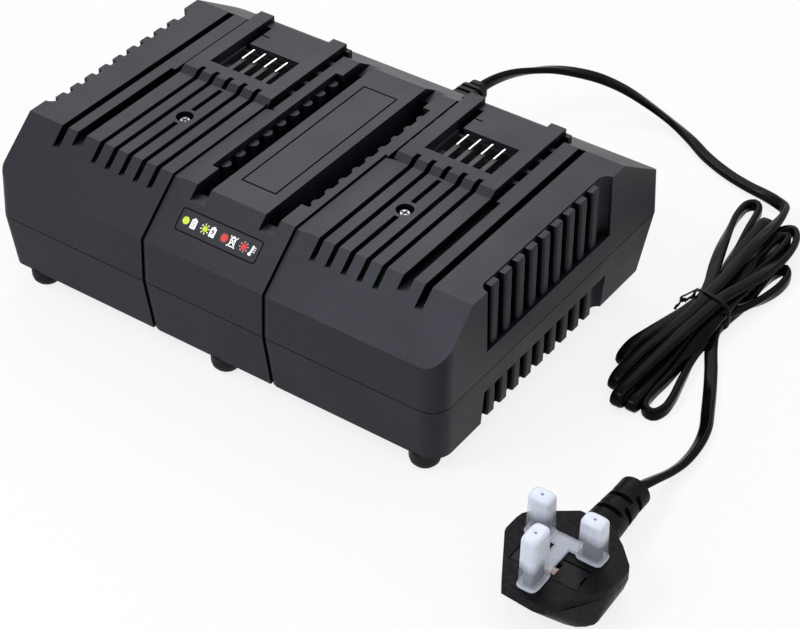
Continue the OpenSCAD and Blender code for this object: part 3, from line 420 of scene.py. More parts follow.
def softened(node, name, width, segments=2):
    """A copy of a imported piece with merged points, folds under FLAT_FOLD dissolved and a live bevel
    on those over BEVEL_FOLD. One over CRISP_FOLD between two faces over CRISP_AREA is marked sharp."""
    source = frame["nodes"][node]
    mesh = bpy.data.meshes.new(name)
    bm = bmesh.new()
    bm.from_mesh(source.data)
    bmesh.ops.remove_doubles(bm, verts=bm.verts, dist=MERGE)
    bmesh.ops.dissolve_degenerate(bm, edges=bm.edges, dist=MERGE)
    bmesh.ops.dissolve_limit(bm, angle_limit=FLAT_FOLD, verts=bm.verts, edges=bm.edges)
    for face in bm.faces:
        face.smooth = True
    for edge in bm.edges:
        if len(edge.link_faces) == 2 and edge.calc_face_angle(0) > CRISP_FOLD:
            edge.smooth = min(face.calc_area() for face in edge.link_faces) < CRISP_AREA
    bm.to_mesh(mesh)
    bm.free()
    piece = bpy.data.objects.new(name, mesh)
    scene.collection.objects.link(piece)
    bevel = piece.modifiers.new("soft edges", "BEVEL")
    bevel.width = width * MM
    bevel.segments = segments
    bevel.limit_method = "ANGLE"
    bevel.angle_limit = BEVEL_FOLD
    bevel.use_clamp_overlap = True
    even = piece.modifiers.new("flat large faces", "WEIGHTED_NORMAL")
    even.mode = "FACE_AREA"
    even.weight = 50
    even.keep_sharp = True
    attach(piece, source["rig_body"])
    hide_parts(node)
    return piece


case_top = softened("top_cover", "case_top", 0.4)
case_base = softened("bottom_cover", "case_base", 0.35)
label_film = softened("indicator_window", "label_film", 0.12)
terminals = [softened(f"{side}_terminal_block", f"terminal_holder_{side}", 0.2) for side in ("left", "right")]
blades = [softened(f"{side}_terminal_blades", f"contact_blades_{side}", 0.12) for side in ("left", "right")]
vent_screws = softened("bay_screws", "vent_screws", 0.1)
gland = softened("cord_grommet", "ribbed_gland", 0.35, 3)
plug_moulding = softened("plug_body", "plug_moulding", 0.45, 3)
fuse_drawer = softened("fuse_carrier", "fuse_drawer", 0.15)
for piece in (case_top, case_base, *terminals, gland, plug_moulding):
    print(piece.name, len(piece.data.vertices), "points before the bevel")

# %% [markdown]
# ## The cover on the plug's pins
# The cover is moulded in one shot from milky polyethylene: three thin sleeves with rounded tops and
# a small vent hole, a thicker rim round each foot, and a flat T that joins them. Each sleeve is a
# stack of superellipse rings that runs up its outside, in through the hole and down its inside.

# %% Sleeves of the pin cover
PLUG_X, PLUG_Y, PIN_SPAN = 180, -97.6, 22.23
COVER_FOOT = 21.8
SLEEVE_OUT, SLEEVE_DRAFT = 1.9, 0.3      # from the pin to the sleeve's outside, and its taper
SLEEVE_POWER, TOP_ROUND = 4.2, 1.5
SLEEVE_COUNT = 72


def sleeve_rows(pin_w, pin_d, height):
    """Rows of (half width, half depth, height, power): foot rim, tapering wall, a quarter circle, the
    top with its hole, the ceiling and the inner wall."""
    half_w, half_d, top = pin_w / 2, pin_d / 2, COVER_FOOT + height
    a, b = half_w + SLEEVE_OUT, half_d + SLEEVE_OUT
    rim = ((0.3, 0.0), (0.45, 0.15), (0.5, 0.45), (0.42, 0.75), (0.15, 0.95), (0.02, 1.2), (-0.02, 2.0))
    rows = [(a + grow, b + grow, COVER_FOOT + up, SLEEVE_POWER) for grow, up in rim]
    for s in (0.35, 0.7, 1.0):
        inset = SLEEVE_DRAFT * s
        rows.append((a - inset, b - inset, COVER_FOOT + 2 + (height - 3.8) * s, SLEEVE_POWER))
    for t in np.radians([12, 28, 45, 62, 78, 90]):
        inset = SLEEVE_DRAFT + TOP_ROUND * (1 - math.cos(t))
        up = top - TOP_ROUND + TOP_ROUND * math.sin(t)
        rows.append((a - inset, b - inset, up, SLEEVE_POWER - 0.9 * math.sin(t)))
    rows += [(1.6, 1.3, top + 0.02, 2.4), (0.62, 0.62, top, 2), (0.5, 0.5, top - 0.15, 2)]
    rows += [(0.5, 0.5, top - 1.1, 2), (0.7, 0.7, top - 1.2, 2)]
    rows += [(half_w - 0.2, half_d - 0.2, top - 1.2, 4), (half_w + 0.3, half_d + 0.3, top - 1.8, 6)]
    rows += [(half_w + 0.4, half_d + 0.4, COVER_FOOT + up, 6) for up in (height * 0.5, 0.4, 0.0)]
    return rows


def sleeve(x, y, rows):
    """One ring for each row: a superellipse with its own half width, half depth and power."""
    a, b, z, power = (np.array(column)[:, None] for column in zip(*rows))
    t = np.linspace(0, 2 * np.pi, SLEEVE_COUNT, endpoint=False)[None]
    px, py = superellipse(t, a, b, power)
    return np.stack([x + px, y + py, z + 0 * t], -1) * MM


power_rows, earth_rows = sleeve_rows(6.35, 4, 18.9), sleeve_rows(4, 8, 23.9)
stacks = [sleeve(PLUG_X + side * PIN_SPAN / 2, PLUG_Y, power_rows) for side in (-1, 1)]
stacks.append(sleeve(PLUG_X, PLUG_Y - PIN_SPAN, earth_rows))
per_sleeve = len(power_rows) * SLEEVE_COUNT
guard_faces = [[corner + k * per_sleeve for corner in face] for k in range(len(stacks))
    for face in grid_faces(len(power_rows), SLEEVE_COUNT, wrap_rows=True)]
pin_guard = face_outwards(mesh_object("pin_guard", np.array(stacks), guard_faces, "pin_cover", "cover_clear"))
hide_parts("pin_cover")
print("pin cover:", len(pin_guard.data.polygons), "faces")

# %% Flat T between the sleeves
T_LOW, T_HIGH, T_HALF = COVER_FOOT, 23.4, 2.9
T_ARM, T_LEG, T_BEVEL = 6.4, 16.6, 0.3


def prism_faces(n):
    """Faces of a prism whose first n points are its low ring and whose next n are its high ring."""
    low, high = list(range(n)), list(range(n, 2 * n))
    return [low[::-1], high] + [[k, (k + 1) % n, n + (k + 1) % n, n + k] for k in range(n)]


def slab_piece(name, outline, low, high, body, slot, width):
    """A prism over an outline in plan, its edges rounded by a live bevel."""
    points = [(x, y, z) for z in (low, high) for x, y in outline]
    piece = face_outwards(mesh_object(name, np.array(points) * MM, prism_faces(len(outline)), body, slot))
    edge = piece.modifiers.new("soft edges", "BEVEL")
    edge.width = width * MM
    edge.segments = 2
    edge.harden_normals = True
    return piece


tee = [(-T_ARM, -T_HALF), (-T_HALF, -T_HALF), (-T_HALF, -T_LEG), (T_HALF, -T_LEG), (T_HALF, -T_HALF),
    (T_ARM, -T_HALF), (T_ARM, T_HALF), (-T_ARM, T_HALF)]
pin_guard_web = slab_piece("pin_guard_web", [(PLUG_X + x, PLUG_Y + y) for x, y in tee], T_LOW, T_HIGH,
    "pin_cover", "cover_clear", T_BEVEL)
print("web:", len(tee), "corners, its top at", T_HIGH, "mm")

# %% [markdown]
# ## The line round the fuse drawer
# The drawer stands in its slot with a narrow gap all round, which shows as a dark line in the face
# of the plug. A flat dark band of painted shade fills that gap.

# %% Line round the fuse drawer
DRAWER_X, DRAWER_Y = (166.2, 195.4), (-115.3, -104.1)
LINE_W, LINE_LOW, LINE_HIGH = 0.4, 21.2, 21.53


def plan_ring(name, outline, width, low, high, slot):
    """A flat band inside an outline in plan: each corner moves in along the mean of its two edge
    normals, and the four rings, outer and inner, low and high, are joined all round."""
    flat = np.asarray(outline, float)
    ahead, behind = unit(np.roll(flat, -1, 0) - flat), unit(flat - np.roll(flat, 1, 0))
    normal = lambda v: np.stack([-v[:, 1], v[:, 0]], 1)
    inwards = normal(ahead) + normal(behind)
    inwards /= 0.5 * (inwards ** 2).sum(1, keepdims=True)
    rings = [np.column_stack([flat + inwards * inset, np.full(len(flat), z)])
        for inset, z in ((0, low), (0, high), (width, high), (width, low))]
    faces = grid_faces(len(rings), len(flat), wrap_rows=True)
    return face_outwards(mesh_object(name, np.array(rings) * MM, faces, "charger", slot, smooth=False))


drawer_corners = [(DRAWER_X[i], DRAWER_Y[j]) for i, j in ((0, 0), (1, 0), (1, 1), (0, 1))]
# painted shade: a dark band in the gap round the drawer
drawer_gap_shade = plan_ring("drawer_gap_shade", drawer_corners, LINE_W, LINE_LOW, LINE_HIGH, "plug_black")
print("line round the fuse drawer:", len(drawer_gap_shade.data.polygons), "faces")

# %% [markdown]
# ## Prints on the lamp window
# The film over the lamps carries four lamp marks and four small pictograms: charged, charging,
# faulty and too hot. They are thin prints, drawn here as flat prisms a few hundredths of a
# millimetre high, in the plane of the sloping front.

# %% Plane of the front slope
FOOT_Y, FOOT_Z, TOP_Z, SLOPE_RUN = -81.3, 56.5, 76, 22.3
MARKS_UP = 14.4   # from the slope's foot to the middle of the marks
SLOPE = math.atan2(TOP_Z - FOOT_Z, SLOPE_RUN)
SLOPE_UP = np.array([0, math.cos(SLOPE), math.sin(SLOPE)])
SLOPE_OUT = np.array([0, -math.sin(SLOPE), math.cos(SLOPE)])
SLOPE_ORIGIN = np.array([0, FOOT_Y, FOOT_Z]) + MARKS_UP * SLOPE_UP


def on_slope(flat, lift):
    """Points (x across, u up the slope) in millimetres, moved to the slope and lifted off it."""
    flat = np.asarray(flat, float)
    return SLOPE_ORIGIN + flat[:, :1] * [1, 0, 0] + flat[:, 1:] * SLOPE_UP + lift * SLOPE_OUT


def prints(name, outlines, low, high):
    """Prisms on the slope, one over each outline, that stand from low to high above the film."""
    points, faces = [], []
    for outline in outlines:
        faces += [[len(points) + corner for corner in face] for face in prism_faces(len(outline))]
        for lift in (low, high):
            points += on_slope(outline, lift).tolist()
    piece = mesh_object(name, np.array(points) * MM, faces, "charger", "label_plastic", smooth=False)
    return face_outwards(piece)


def circle(x, u, radius, count=28):
    """Points on a circle round (x, u)."""
    t = np.linspace(0, 2 * np.pi, count, endpoint=False)
    return np.stack([x + radius * np.cos(t), u + radius * np.sin(t)], 1)


def bar(x0, u0, x1, u1, width):
    """A rectangle along the line from one point to the other."""
    a, b = np.array([x0, u0]), np.array([x1, u1])
    side = unit(b - a)[::-1] * [-1, 1] * width / 2
    return np.array([a - side, b - side, b + side, a + side])


def line_frame(name, x, u, half_w, half_l, radius, width, low, high, count=32):
    """A thin raised line along a rounded rectangle: for each corner's arc c + r (cos t, sin t), rings
    on the outer and the inner side, low and high, joined all round."""
    t = np.linspace(0, 2 * np.pi, count, endpoint=False)
    # a hair's turn puts the points on the axes into one of their two corners
    sx, sy = np.where(np.cos(t + 1e-3) > 0, 1, -1), np.where(np.sin(t + 1e-3) > 0, 1, -1)
    rings = []
    for r, lift in ((radius, low), (radius, high), (radius - width, high), (radius - width, low)):
        px = x + sx * (half_w - radius) + r * np.cos(t)
        pu = u + sy * (half_l - radius) + r * np.sin(t)
        rings.append(on_slope(np.stack([px, pu], 1), lift))
    faces = grid_faces(len(rings), count, wrap_rows=True)
    piece = mesh_object(name, np.array(rings) * MM, faces, "charger", "label_plastic", smooth=False)
    return face_outwards(piece)


# %% Pictograms and lamp marks
def bars(mark, *lines):
    """Bars of (x0, u0, x1, u1, width), measured from the middle of a mark."""
    x, u = mark
    return [bar(x + x0, u + u0, x + x1, u + u1, width) for x0, u0, x1, u1, width in lines]


def battery(mark, solid=True):
    """Body and pole: solid, or as a frame of four bars."""
    pole = bars(mark, (0, 1.75, 0, 2.35, 1.2))
    if solid:
        return pole + bars(mark, (0, -2.1, 0, 1.75, 2.7))
    return pole + bars(mark, (-1.1, -2.1, -1.1, 1.8, 0.42), (1.1, -2.1, 1.1, 1.8, 0.42),
        (-1.3, -1.95, 1.3, -1.95, 0.5), (-1.3, 1.6, 1.3, 1.6, 0.42))


def rays(mark, inner, outer, width, count=8, turn=0.2):
    """Short bars that point away from the middle of a lamp mark."""
    ways = [(math.cos(t), math.sin(t)) for t in np.linspace(0, 2 * np.pi, count, endpoint=False) + turn]
    return bars(mark, *((inner * c, inner * s, outer * c, outer * s, width) for c, s in ways))


GREEN_DOT, GREEN_STAR, RED_DOT, RED_STAR = (-18.4, 0.1), (-8.6, 0.05), (1.3, -0.05), (11.2, -0.1)
CHARGED, CHARGING, FAULTY, HOT = (-14.4, 0.0), (-4.7, 0.0), (5.5, -0.2), (15.1, -0.2)
cross = bars(FAULTY, (-2, -2.3, 1.9, 2.3, 0.5), (-1.7, 2.3, 1.8, -2.3, 0.5))
bulb = circle(HOT[0] - 0.3, HOT[1] - 1.55, 0.8, 16)
degrees = [(0.5, k, 1.7, k - 0.1, 0.36) for k in (1.5, 0.6, -0.3)]
stem_and_scale = bars(HOT, (-0.2, -1.5, 0.2, 2.1, 0.85), *degrees)
batteries = battery(CHARGED) + battery(CHARGING) + battery(FAULTY, solid=False)
white_marks = prints("pictograms", batteries + cross + [bulb] + stem_and_scale, -0.05, 0.0)
cells = bars(CHARGED, *((-0.85, k, 0.85, k, 0.2) for k in (-1.1, -0.1, 0.9)))
bolt = bars(CHARGING, (-0.55, 0.3, 0.35, 1.2, 0.42), (-0.45, -0.9, 0.5, 0.4, 0.42),
    (-0.6, 0.3, 0.6, 0.3, 0.4))
dark_marks = prints("cell_marks", cells + bolt, -0.04, 0.02)
dark_green = prints("green_rims", [circle(*GREEN_DOT, 2.0), circle(*GREEN_STAR, 2.3)], -0.06, -0.02)
dark_red = prints("red_rims", [circle(*RED_DOT, 2.2), circle(*RED_STAR, 2.25)], -0.06, -0.02)
ray_tips = prints("lamp_rays", rays(GREEN_STAR, 1.6, 2.25, 0.42) + rays(RED_STAR, 1.7, 2.1, 0.3), -0.05, 0.01)
green_lights = prints("green_lights", [circle(*GREEN_DOT, 1.6), circle(*GREEN_STAR, 1.05)]
    + rays(GREEN_STAR, 0.8, 1.9, 0.38), -0.05, 0.02)
red_lights = prints("red_lights", [circle(*RED_DOT, 1.6), circle(*RED_STAR, 1.15)]
    + rays(RED_STAR, 0.8, 1.8, 0.36), -0.05, 0.02)
window_line = line_frame("window_line", x=-1.6, u=0, half_w=20.6, half_l=5.1, radius=1.7, width=0.6, low=-0.3,
    high=0.02)
print("prints on the lamp window:", len(white_marks.data.polygons), "faces of white pictograms")

# %% [markdown]
# ## Finishes
# A finish is one principled shader whose colour, roughness and surface vary by noise. Every number
# is in millimetres on the real piece. Most of the object is moulded plastic, whose mould was spark
# eroded, so it has a fine even grain that scatters highlights, and a slow change of tone over
# centimetres from the way the plastic flowed. All colours are written as sRGB hex values.

# %% Colours and nodes
def srgb(code):
    """Linear colour: c / 12.92 up to 0.04045, and ((c + 0.055) / 1.055) ^ 2.4 above."""
    c = np.array([int(code[i:i + 2], 16) for i in (0, 2, 4)]) / 255
    return (*np.where(c <= 0.04045, c / 12.92, ((c + 0.055) / 1.055) ** 2.4).tolist(), 1.0)


def add(tree, kind, sockets=None, **settings):
    """Adds a node. A socket gets a value, or a link when it is given as (node, output)."""
    made = tree.nodes.new("ShaderNode" + kind)
    for key, value in settings.items():
        setattr(made, key, value)
    for key, value in (sockets or {}).items():
        if isinstance(value, tuple) and isinstance(value[0], bpy.types.Node):
            tree.links.new(value[0].outputs[value[1]], made.inputs[key])
        else:
            made.inputs[key].default_value = value
    return made


def ramp(tree, value, low, high, first, last):
    """Maps a socket's values from low..high to first..last, and holds them at the two ends."""
    ends = {"From Min": low, "From Max": high, "To Min": first, "To Max": last}
    return add(tree, "MapRange", {"Value": value, **ends})


def noise_on(tree, place, detail, size, stretch=(1, 1, 1)):
    """Noise whose cells are size millimetres long, times the stretch along x, y and z."""
    scale = [1 / MM / (size * k) for k in stretch]
    grid = add(tree, "Mapping", {"Vector": (place, "Object"), "Scale": scale})
    return add(tree, "TexNoise", {"Vector": (grid, 0), "Scale": 1.0, "Detail": detail})


def principled_of(material):
    """The one principled shader of a finish."""
    return next(node for node in material.node_tree.nodes if node.type == "BSDF_PRINCIPLED")


TINT_EDGES, SPREAD_EDGES = (0.38, 0.66), (0.3, 0.7)   # the values of the noise that give none and all


def finish(name, colour, roughness, tints=(), grain=(), spread=0.0, spread_size=12, shine=0.5, **shader):
    """tints: (size mm, hex colour, amount, stretch xyz if any) mixes another colour in by noise.
    grain: (size mm, height mm, stretch xyz if any) adds a bump. spread: how far the roughness
    wanders. shine: the specular level."""
    material = bpy.data.materials.new(name)
    material.use_nodes = True
    tree = material.node_tree
    tree.nodes.clear()
    place = add(tree, "TexCoord")
    values = {"Base Color": srgb(colour), "Roughness": roughness, "Specular IOR Level": shine}
    values.update({key.replace("_", " "): value for key, value in shader.items()})
    shade = add(tree, "BsdfPrincipled", values)
    mix = None
    for size, other, amount, *stretch in tints:
        share = ramp(tree, (noise_on(tree, place, 3.0, size, *stretch), 0), *TINT_EDGES, 0.0, amount)
        under = (mix, 2) if mix else srgb(colour)
        mix = add(tree, "Mix", {0: (share, 0), 6: under, 7: srgb(other)}, data_type="RGBA")
    if mix:
        tree.links.new(mix.outputs[2], shade.inputs["Base Color"])
    if spread:
        noise = noise_on(tree, place, 4.0, spread_size)
        ends = max(roughness - spread, 0.02), min(roughness + spread, 1.0)
        wander = ramp(tree, (noise, 0), *SPREAD_EDGES, *ends)
        tree.links.new(wander.outputs[0], shade.inputs["Roughness"])
    bump = None
    for size, height, *stretch in grain:
        noise = noise_on(tree, place, 2.0, size, *stretch)
        sockets = {"Height": (noise, 0), "Distance": height * MM, "Strength": 1.0}
        if bump:
            sockets["Normal"] = (bump, 0)
        bump = add(tree, "Bump", sockets)
    if bump:
        tree.links.new(bump.outputs[0], shade.inputs["Normal"])
    tree.links.new(shade.outputs[0], add(tree, "OutputMaterial").inputs[0])
    return material


def wear(material, *pieces):
    """Puts one material on pieces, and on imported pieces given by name."""
    for piece in pieces:
        target = frame["nodes"][piece] if isinstance(piece, str) else piece
        target.data.materials.clear()
        target.data.materials.append(material)


print("finishes ready")

# %% [markdown]
# ## Plastics and rubber
# The two covers are black glass-filled nylon, which looks dark grey because its grain scatters
# light. Its real grain is about 0.1 mm and would vanish, so it is drawn at 0.5 to 1.2 mm. Between
# close walls the colour and the shine are painted darker, as painted shade.

# %% Plastics of the case
DEEP, OPEN = 0.42, 0.86   # shares of open sky in a recess that is fully dark, and on a free face
PAINTED_SHADE_COLOUR, PAINTED_SHADE_SHINE = "060608", 0.03


def paint_recess_shade(material, reach):
    """Paints shade: fades to the dark colour and shine where walls within reach millimetres hide the open
    sky.
    """
    tree, shade = material.node_tree, principled_of(material)
    shine = shade.inputs["Specular IOR Level"].default_value
    before = shade.inputs["Base Color"].links[0].from_node
    sky = add(tree, "AmbientOcclusion", {"Distance": reach * MM}, only_local=True, samples=8)
    share = ramp(tree, (sky, "AO"), DEEP, OPEN, 0.0, 1.0)
    mix = add(tree, "Mix", {0: (share, 0), 6: srgb(PAINTED_SHADE_COLOUR), 7: (before, 2)}, data_type="RGBA")
    level = ramp(tree, (share, 0), 0.0, 1.0, PAINTED_SHADE_SHINE, shine)
    tree.links.new(mix.outputs[2], shade.inputs["Base Color"])
    tree.links.new(level.outputs[0], shade.inputs["Specular IOR Level"])


case_nylon = finish("case_nylon", "1b1a23", 0.46, tints=[(70, "201f28", 0.4), (1.2, "121117", 0.5)],
    grain=[(1.2, 0.02), (0.6, 0.028)], spread=0.04, spread_size=30, IOR=1.5, shine=0.24)
base_nylon = finish("base_nylon", "201f28", 0.5, tints=[(65, "201f24", 0.4), (1.6, "141318", 0.4)],
    grain=[(1.2, 0.014), (0.5, 0.012)], spread=0.04, spread_size=30, IOR=1.5, shine=0.15)
# painted shade in the recesses of both covers
paint_recess_shade(case_nylon, reach=10)
paint_recess_shade(base_nylon, reach=8)
wear(case_nylon, case_top)
wear(base_nylon, case_base)
print("finishes of the two covers on")

# %% Finishes of the other outer pieces
# polyester film with a satin back print: smoother than the case, so it shines a little more evenly
wear(finish("label_polyester", "1a191e", 0.44, tints=[(20, "1e1d23", 0.5)], grain=[(0.6, 0.004)],
    spread=0.04, IOR=1.55, shine=0.21), label_film)
# heat-proof nylon of the terminal holders, moulded with a finer grain, a little darker
wear(finish("holder_nylon", "1d1d21", 0.46, tints=[(18, "26262b", 0.6)], grain=[(0.7, 0.01)], spread=0.06,
    IOR=1.5, shine=0.3), *terminals)
# nickel-plated spring bronze: bright warm edges, with faint drawing marks along the blade
wear(finish("blade_nickel", "efebe0", 0.18, tints=[(3, "cfc8b4", 0.35, (1, 6, 1))],
    grain=[(0.6, 0.004, (1, 8, 1))], spread=0.06, spread_size=3, Metallic=1.0), *blades)
# zinc-plated steel: cool grey with slightly cloudy reflections
wear(finish("screw_zinc", "96979c", 0.24, tints=[(1.2, "5c5e64", 0.5)], grain=[(0.8, 0.01)], spread=0.08,
    spread_size=2, Metallic=1.0), vent_screws, "case_screws", "board_screws", "clamp_screws")
# soft rubber of the feet: matt and dusty, nearly black
wear(finish("foot_rubber", "0c0b0f", 0.6, tints=[(4, "141318", 0.6)], grain=[(0.9, 0.02)], spread=0.08,
    IOR=1.52, shine=0.18), "front_feet", "rear_feet")
# PVC of the cord: smooth and black with long soft highlights; faint waves from the extruder
wear(finish("cord_pvc", "070709", 0.2, tints=[(9, "0c0c0f", 0.6)], grain=[(7, 0.05), (0.8, 0.004)],
    spread=0.06, spread_size=9, IOR=1.53, shine=0.045), mains_cord)
# the same PVC as the cord on the gland, but moulded, so it has a dull skin
wear(finish("gland_pvc", "0a090c", 0.46, tints=[(5, "100f13", 0.5)], grain=[(0.8, 0.012)], spread=0.06,
    IOR=1.53, shine=0.12), gland)
# sleeve of the wire tie: smooth black PVC
wear(finish("tie_sleeve", "060608", 0.36, tints=[(3, "0c0c0f", 0.5)], grain=[(1.2, 0.01)], spread=0.08,
    IOR=1.5, shine=0.07), tie_band, *tie_ends)
# PVC of the plug: moulded over the pins, with a coarse mottled grain that catches light in specks
wear(finish("plug_pvc", "09090b", 0.46, tints=[(14, "0e0e11", 0.6), (1.3, "18171b", 0.5)],
    grain=[(1.1, 0.035), (0.6, 0.012)], spread=0.1, spread_size=2, IOR=1.53, shine=0.075), plug_moulding)
# fuse drawer: harder, smoother plastic than the plug around it
wear(finish("drawer_abs", "0c0c0e", 0.4, tints=[(6, "131316", 0.5)], grain=[(0.8, 0.012)], spread=0.08,
    IOR=1.5, shine=0.12), fuse_drawer)
# milky polyethylene of the pin cover: a thin wall veils the pin behind it, a thick one hides it
cover_polyethylene = finish("cover_polyethylene", "dde1ea", 0.3, tints=[(8, "d2d8e6", 0.6)],
    grain=[(2.5, 0.012)], spread=0.05, spread_size=4, IOR=1.45)
wear(cover_polyethylene, pin_guard, pin_guard_web)
print(len(bpy.data.materials), "finishes so far")

# %% How milky the pin cover is
RIM_Z, PIN_END_Z = (22.7 * MM, 23.1 * MM), (32.5 * MM, 37.5 * MM)
RIM_HIDES, WALL_HIDES, END_HIDES = 0.5, 0.2, 0.9
WAVES_PER_METRE, WAVE_HEIGHT = [300, 300, 60], 4 * MM


def veil(material):
    """Each wall hides WALL_HIDES of what is behind it beside the pins, and more at the foot rims and
    above the pins' ends, where the plastic is thicker. Noise lets the upper limit wander."""
    tree = material.node_tree
    place = add(tree, "TexCoord")
    grid = add(tree, "Mapping", {"Vector": (place, "Object"), "Scale": WAVES_PER_METRE})
    waves = add(tree, "TexNoise", {"Vector": (grid, 0), "Scale": 1.0})
    height = add(tree, "SeparateXYZ", {"Vector": (place, "Object")})
    level = add(tree, "Math", {0: (waves, 0), 1: WAVE_HEIGHT, 2: (height, "Z")}, operation="MULTIPLY_ADD")
    rim = ramp(tree, (height, "Z"), *RIM_Z, RIM_HIDES, 0.0)
    end = ramp(tree, (level, 0), *PIN_END_Z, WALL_HIDES, END_HIDES)
    hiding = add(tree, "Math", {0: (rim, 0), 1: (end, 0)}, operation="MAXIMUM")
    tree.links.new(hiding.outputs[0], principled_of(material).inputs["Alpha"])


veil(cover_polyethylene)
print("pin cover hides", WALL_HIDES, "of a pin, and", END_HIDES, "above it")

# %% Inks and lenses of the lamp window
def ink(name, colour, other, amount=0.5, roughness=0.5, **shader):
    """A screen print on the film: flat, slightly rough and a little uneven in colour."""
    return finish(name, colour, roughness, tints=[(0.8, other, amount)], grain=[(0.4, 0.004)], **shader)


def lens(name, colour, other):
    """A lamp mark whose bright colour is a painted glow of the lamp under it: smoother than an ink."""
    return finish(name, colour, 0.3, tints=[(1.5, other, 0.6)], grain=[(0.5, 0.004)], IOR=1.49)


wear(ink("print_white", "ffffff", "e8e8ea", amount=0.4), white_marks, ray_tips)
# black print on the film, also used as painted shade in the gap round the fuse drawer
wear(ink("print_black_and_gap_shade", "040405", "101014", roughness=0.55, shine=0.05), dark_marks, window_line, drawer_gap_shade)
wear(ink("print_olive", "1a1f08", "14180a"), dark_green)
wear(ink("print_maroon", "3a0c10", "300a0e"), dark_red)
# the bright green and red of the lamp marks are painted glow
wear(lens("lens_green", "c3dc2e", "cfe448"), green_lights)
wear(lens("lens_red", "d01e1e", "dc2c28"), red_lights)
print("four inks and two lenses")

# %% [markdown]
# ## Finishes of the inner pieces
# The inner pieces show through the vents and when someone opens the model, so each one has the
# finish of its real material too.

# %% Inner finishes
# glass-fibre laminate under green solder mask: glossy, with a faint weave
wear(finish("board_laminate", "2c6a3a", 0.3, tints=[(1.5, "347844", 0.5)], grain=[(0.9, 0.01)], spread=0.08,
    IOR=1.55), "circuit_board", "indicator_board")
# sintered ferrite: dull dark grey stone with tiny pits
wear(finish("core_ferrite", "47474b", 0.6, tints=[(2, "3a3a3e", 0.6)], grain=[(0.8, 0.03)], spread=0.1,
    Metallic=0.3), "transformer_core")
# polyester winding tape: glossy yellow with wrinkles along the turns
wear(finish("winding_tape", "d8b040", 0.3, tints=[(5, "c89c30", 0.6, (1, 1, 0.3))],
    grain=[(2, 0.03, (4, 4, 0.4))], spread=0.08, IOR=1.55), "transformer_winding")
# enamelled copper wire of the choke: orange-brown metal in fine turns
wear(finish("copper_enamel", "b87333", 0.28, tints=[(1.2, "9a5a24", 0.6)],
    grain=[(0.9, 0.06, (0.5, 0.5, 2))], spread=0.06, Metallic=1.0), "filter_choke")
# shrink sleeve and epoxy of the dark parts: satin near-black
wear(finish("part_epoxy", "26262c", 0.42, tints=[(3, "323238", 0.5)], grain=[(0.8, 0.01)], spread=0.08,
    IOR=1.55), "main_capacitors", "bridge_rectifier", "power_transistors", "cord_clamp")
# moulded box of the film capacitor: glossy yellow
wear(finish("box_yellow", "c8a020", 0.3, tints=[(3, "d4b038", 0.5)], grain=[(1, 0.008)], spread=0.06,
    IOR=1.5), "filter_capacitor")
# glazed ceramic tube of the board fuse
wear(finish("tube_ceramic", "e0ddd4", 0.2, tints=[(2, "d0ccc0", 0.5)], grain=[(1.2, 0.006)], spread=0.06,
    IOR=1.6), "board_fuse")
# extruded aluminium of the heat sinks: pale metal with drawing lines along its length
wear(finish("sink_aluminium", "b8bcc0", 0.34, tints=[(2, "a0a4a8", 0.5, (1, 12, 1))],
    grain=[(0.8, 0.012, (1, 20, 1))], spread=0.08, Metallic=1.0), "left_heat_sink", "right_heat_sink")
# silicone and PVC wire insulation: smooth and slightly glossy
wear(finish("wire_red", "b03030", 0.4, tints=[(3, "c03c3a", 0.5)], grain=[(1.5, 0.01)], spread=0.06),
    "left_terminal_wires", "right_terminal_wires")
wear(finish("wire_blue", "3a5cb0", 0.4, tints=[(3, "4468bc", 0.5)], grain=[(1.5, 0.01)], spread=0.06),
    "mains_wires")
# nickel-plated brass pins of the plug: cool grey metal, drawn lengthwise, darker and bluer than nickel as
# painted shade inside the cover
wear(finish("pin_nickel_painted_shade", "5a6471", 0.36, tints=[(3, "4c5562", 0.5, (1, 1, 8))],
    grain=[(0.8, 0.006, (1, 1, 12))], spread=0.08, Metallic=1.0), "power_pins", "earth_pin")
# green diffusing lamp bodies behind the film
wear(finish("lamp_acrylic", "d8f060", 0.3, tints=[(2, "c4e040", 0.5)], grain=[(1, 0.006)], IOR=1.49,
    Transmission_Weight=0.4), "indicator_lamps")
# ceramic body of the plug's fuse, mottled red where its print would be
wear(finish("fuse_ceramic", "e4dcd2", 0.3, tints=[(2.2, "b8403a", 1.0, (1, 3, 3))], grain=[(1, 0.006)],
    spread=0.06, IOR=1.6), "plug_fuse")
print(len(bpy.data.materials), "finishes in all")

# %% [markdown]
# ## Floor, light and background
# A white table under broad soft lamps. Camera, glossy and transmission rays see a white background,
# while the object is lit by a dimmer sky and by lamps at a plain level, so its colours come out
# about as they are written. The floor is a mix of a plain white seen by those rays and a diffuse
# white that takes the shadow.

# %% Floor
FLOOR_HALF, FLOOR_PLAIN = 3, 0.82   # half its side in metres, and the share of plain white in it
SKY_LIGHT = 0.6
floor_mesh = bpy.data.meshes.new("floor")
corners = [(x * FLOOR_HALF, y * FLOOR_HALF, 0) for x, y in ((-1, -1), (1, -1), (1, 1), (-1, 1))]
floor_mesh.from_pydata(corners, [], [(0, 1, 2, 3)])
floor = bpy.data.objects.new("floor", floor_mesh)
scene.collection.objects.link(floor)


def background_rays(tree):
    """1 for camera, glossy and transmission rays, 0 for the rest."""
    path = add(tree, "LightPath")
    glossy = add(tree, "Math", {0: (path, "Is Camera Ray"), 1: (path, "Is Glossy Ray")}, operation="MAXIMUM")
    return add(tree, "Math", {0: (glossy, 0), 1: (path, "Is Transmission Ray")}, operation="MAXIMUM")


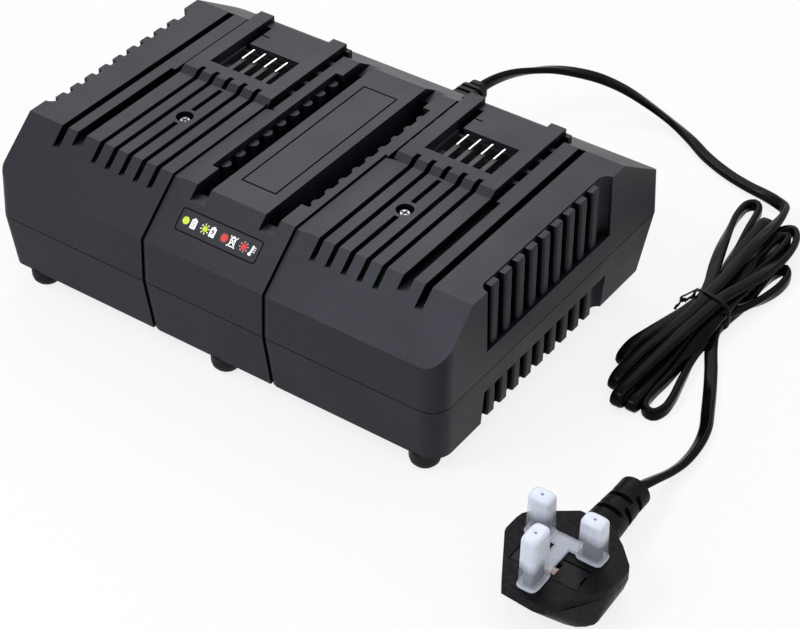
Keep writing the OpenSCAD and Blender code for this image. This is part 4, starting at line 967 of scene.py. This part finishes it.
paper = bpy.data.materials.new("white_table")
paper.use_nodes = True
tree = paper.node_tree
tree.nodes.clear()
matt = add(tree, "BsdfDiffuse", {"Color": srgb("e6e6e6")})
plain = add(tree, "Emission", {"Color": (1, 1, 1, 1), "Strength": 1.0})
share = add(tree, "Math", {0: (background_rays(tree), 0), 1: FLOOR_PLAIN}, operation="MULTIPLY")
mixed = add(tree, "MixShader", {0: (share, 0), 1: (matt, 0), 2: (plain, 0)})
tree.links.new(mixed.outputs[0], add(tree, "OutputMaterial").inputs[0])
floor_mesh.materials.append(paper)
print("floor", tuple(floor.dimensions))

# %% Sky and lamps
world = bpy.data.worlds.new("studio")
world.use_nodes = True
tree = world.node_tree
tree.nodes.clear()
dim = add(tree, "Background", {"Color": (1, 1, 1, 1), "Strength": SKY_LIGHT})
bright = add(tree, "Background", {"Color": (1, 1, 1, 1), "Strength": 1.0})
seen = add(tree, "MixShader", {0: (background_rays(tree), 0), 1: (dim, 0), 2: (bright, 0)})
tree.links.new(seen.outputs[0], add(tree, "OutputWorld").inputs[0])
scene.world = world


def lamp(name, place, target, size, power, colour=(1.0, 1.0, 1.0)):
    """A square area lamp that looks from its place to a target."""
    made = bpy.data.objects.new(name, bpy.data.lights.new(name, "AREA"))
    made.data.size = size
    made.data.energy = power
    made.data.color = colour
    made.location = place
    made.rotation_mode = "QUATERNION"
    made.rotation_quaternion = (Vector(target) - Vector(place)).to_track_quat("-Z", "Y")
    scene.collection.objects.link(made)
    return made


lamp("soft_box_behind", (-0.62, 0.85, 0.92), (0.03, 0, 0.04), 0.9, 3.6, (0.98, 0.96, 1.0))
lamp("soft_box_front", (-0.2, -0.6, 0.79), (0.09, -0.07, 0.06), 0.3, 4.0, (0.84, 0.88, 1.0))
lamp("soft_box_left", (-0.41, 0.56, 0.83), (0.14, 0.02, 0.0), 0.14, 1.1)
lamp("soft_box_above", (0.35, -0.1, 1.2), (0.05, 0, 0.04), 0.7, 3.4)

# %% [markdown]
# ## The cord's facts
# The cord's real length is printed. It leaves the gland at the back, all of it is in view, and it
# ends in the plug.

print("cord declared,", round(cord_length, 3), "m")
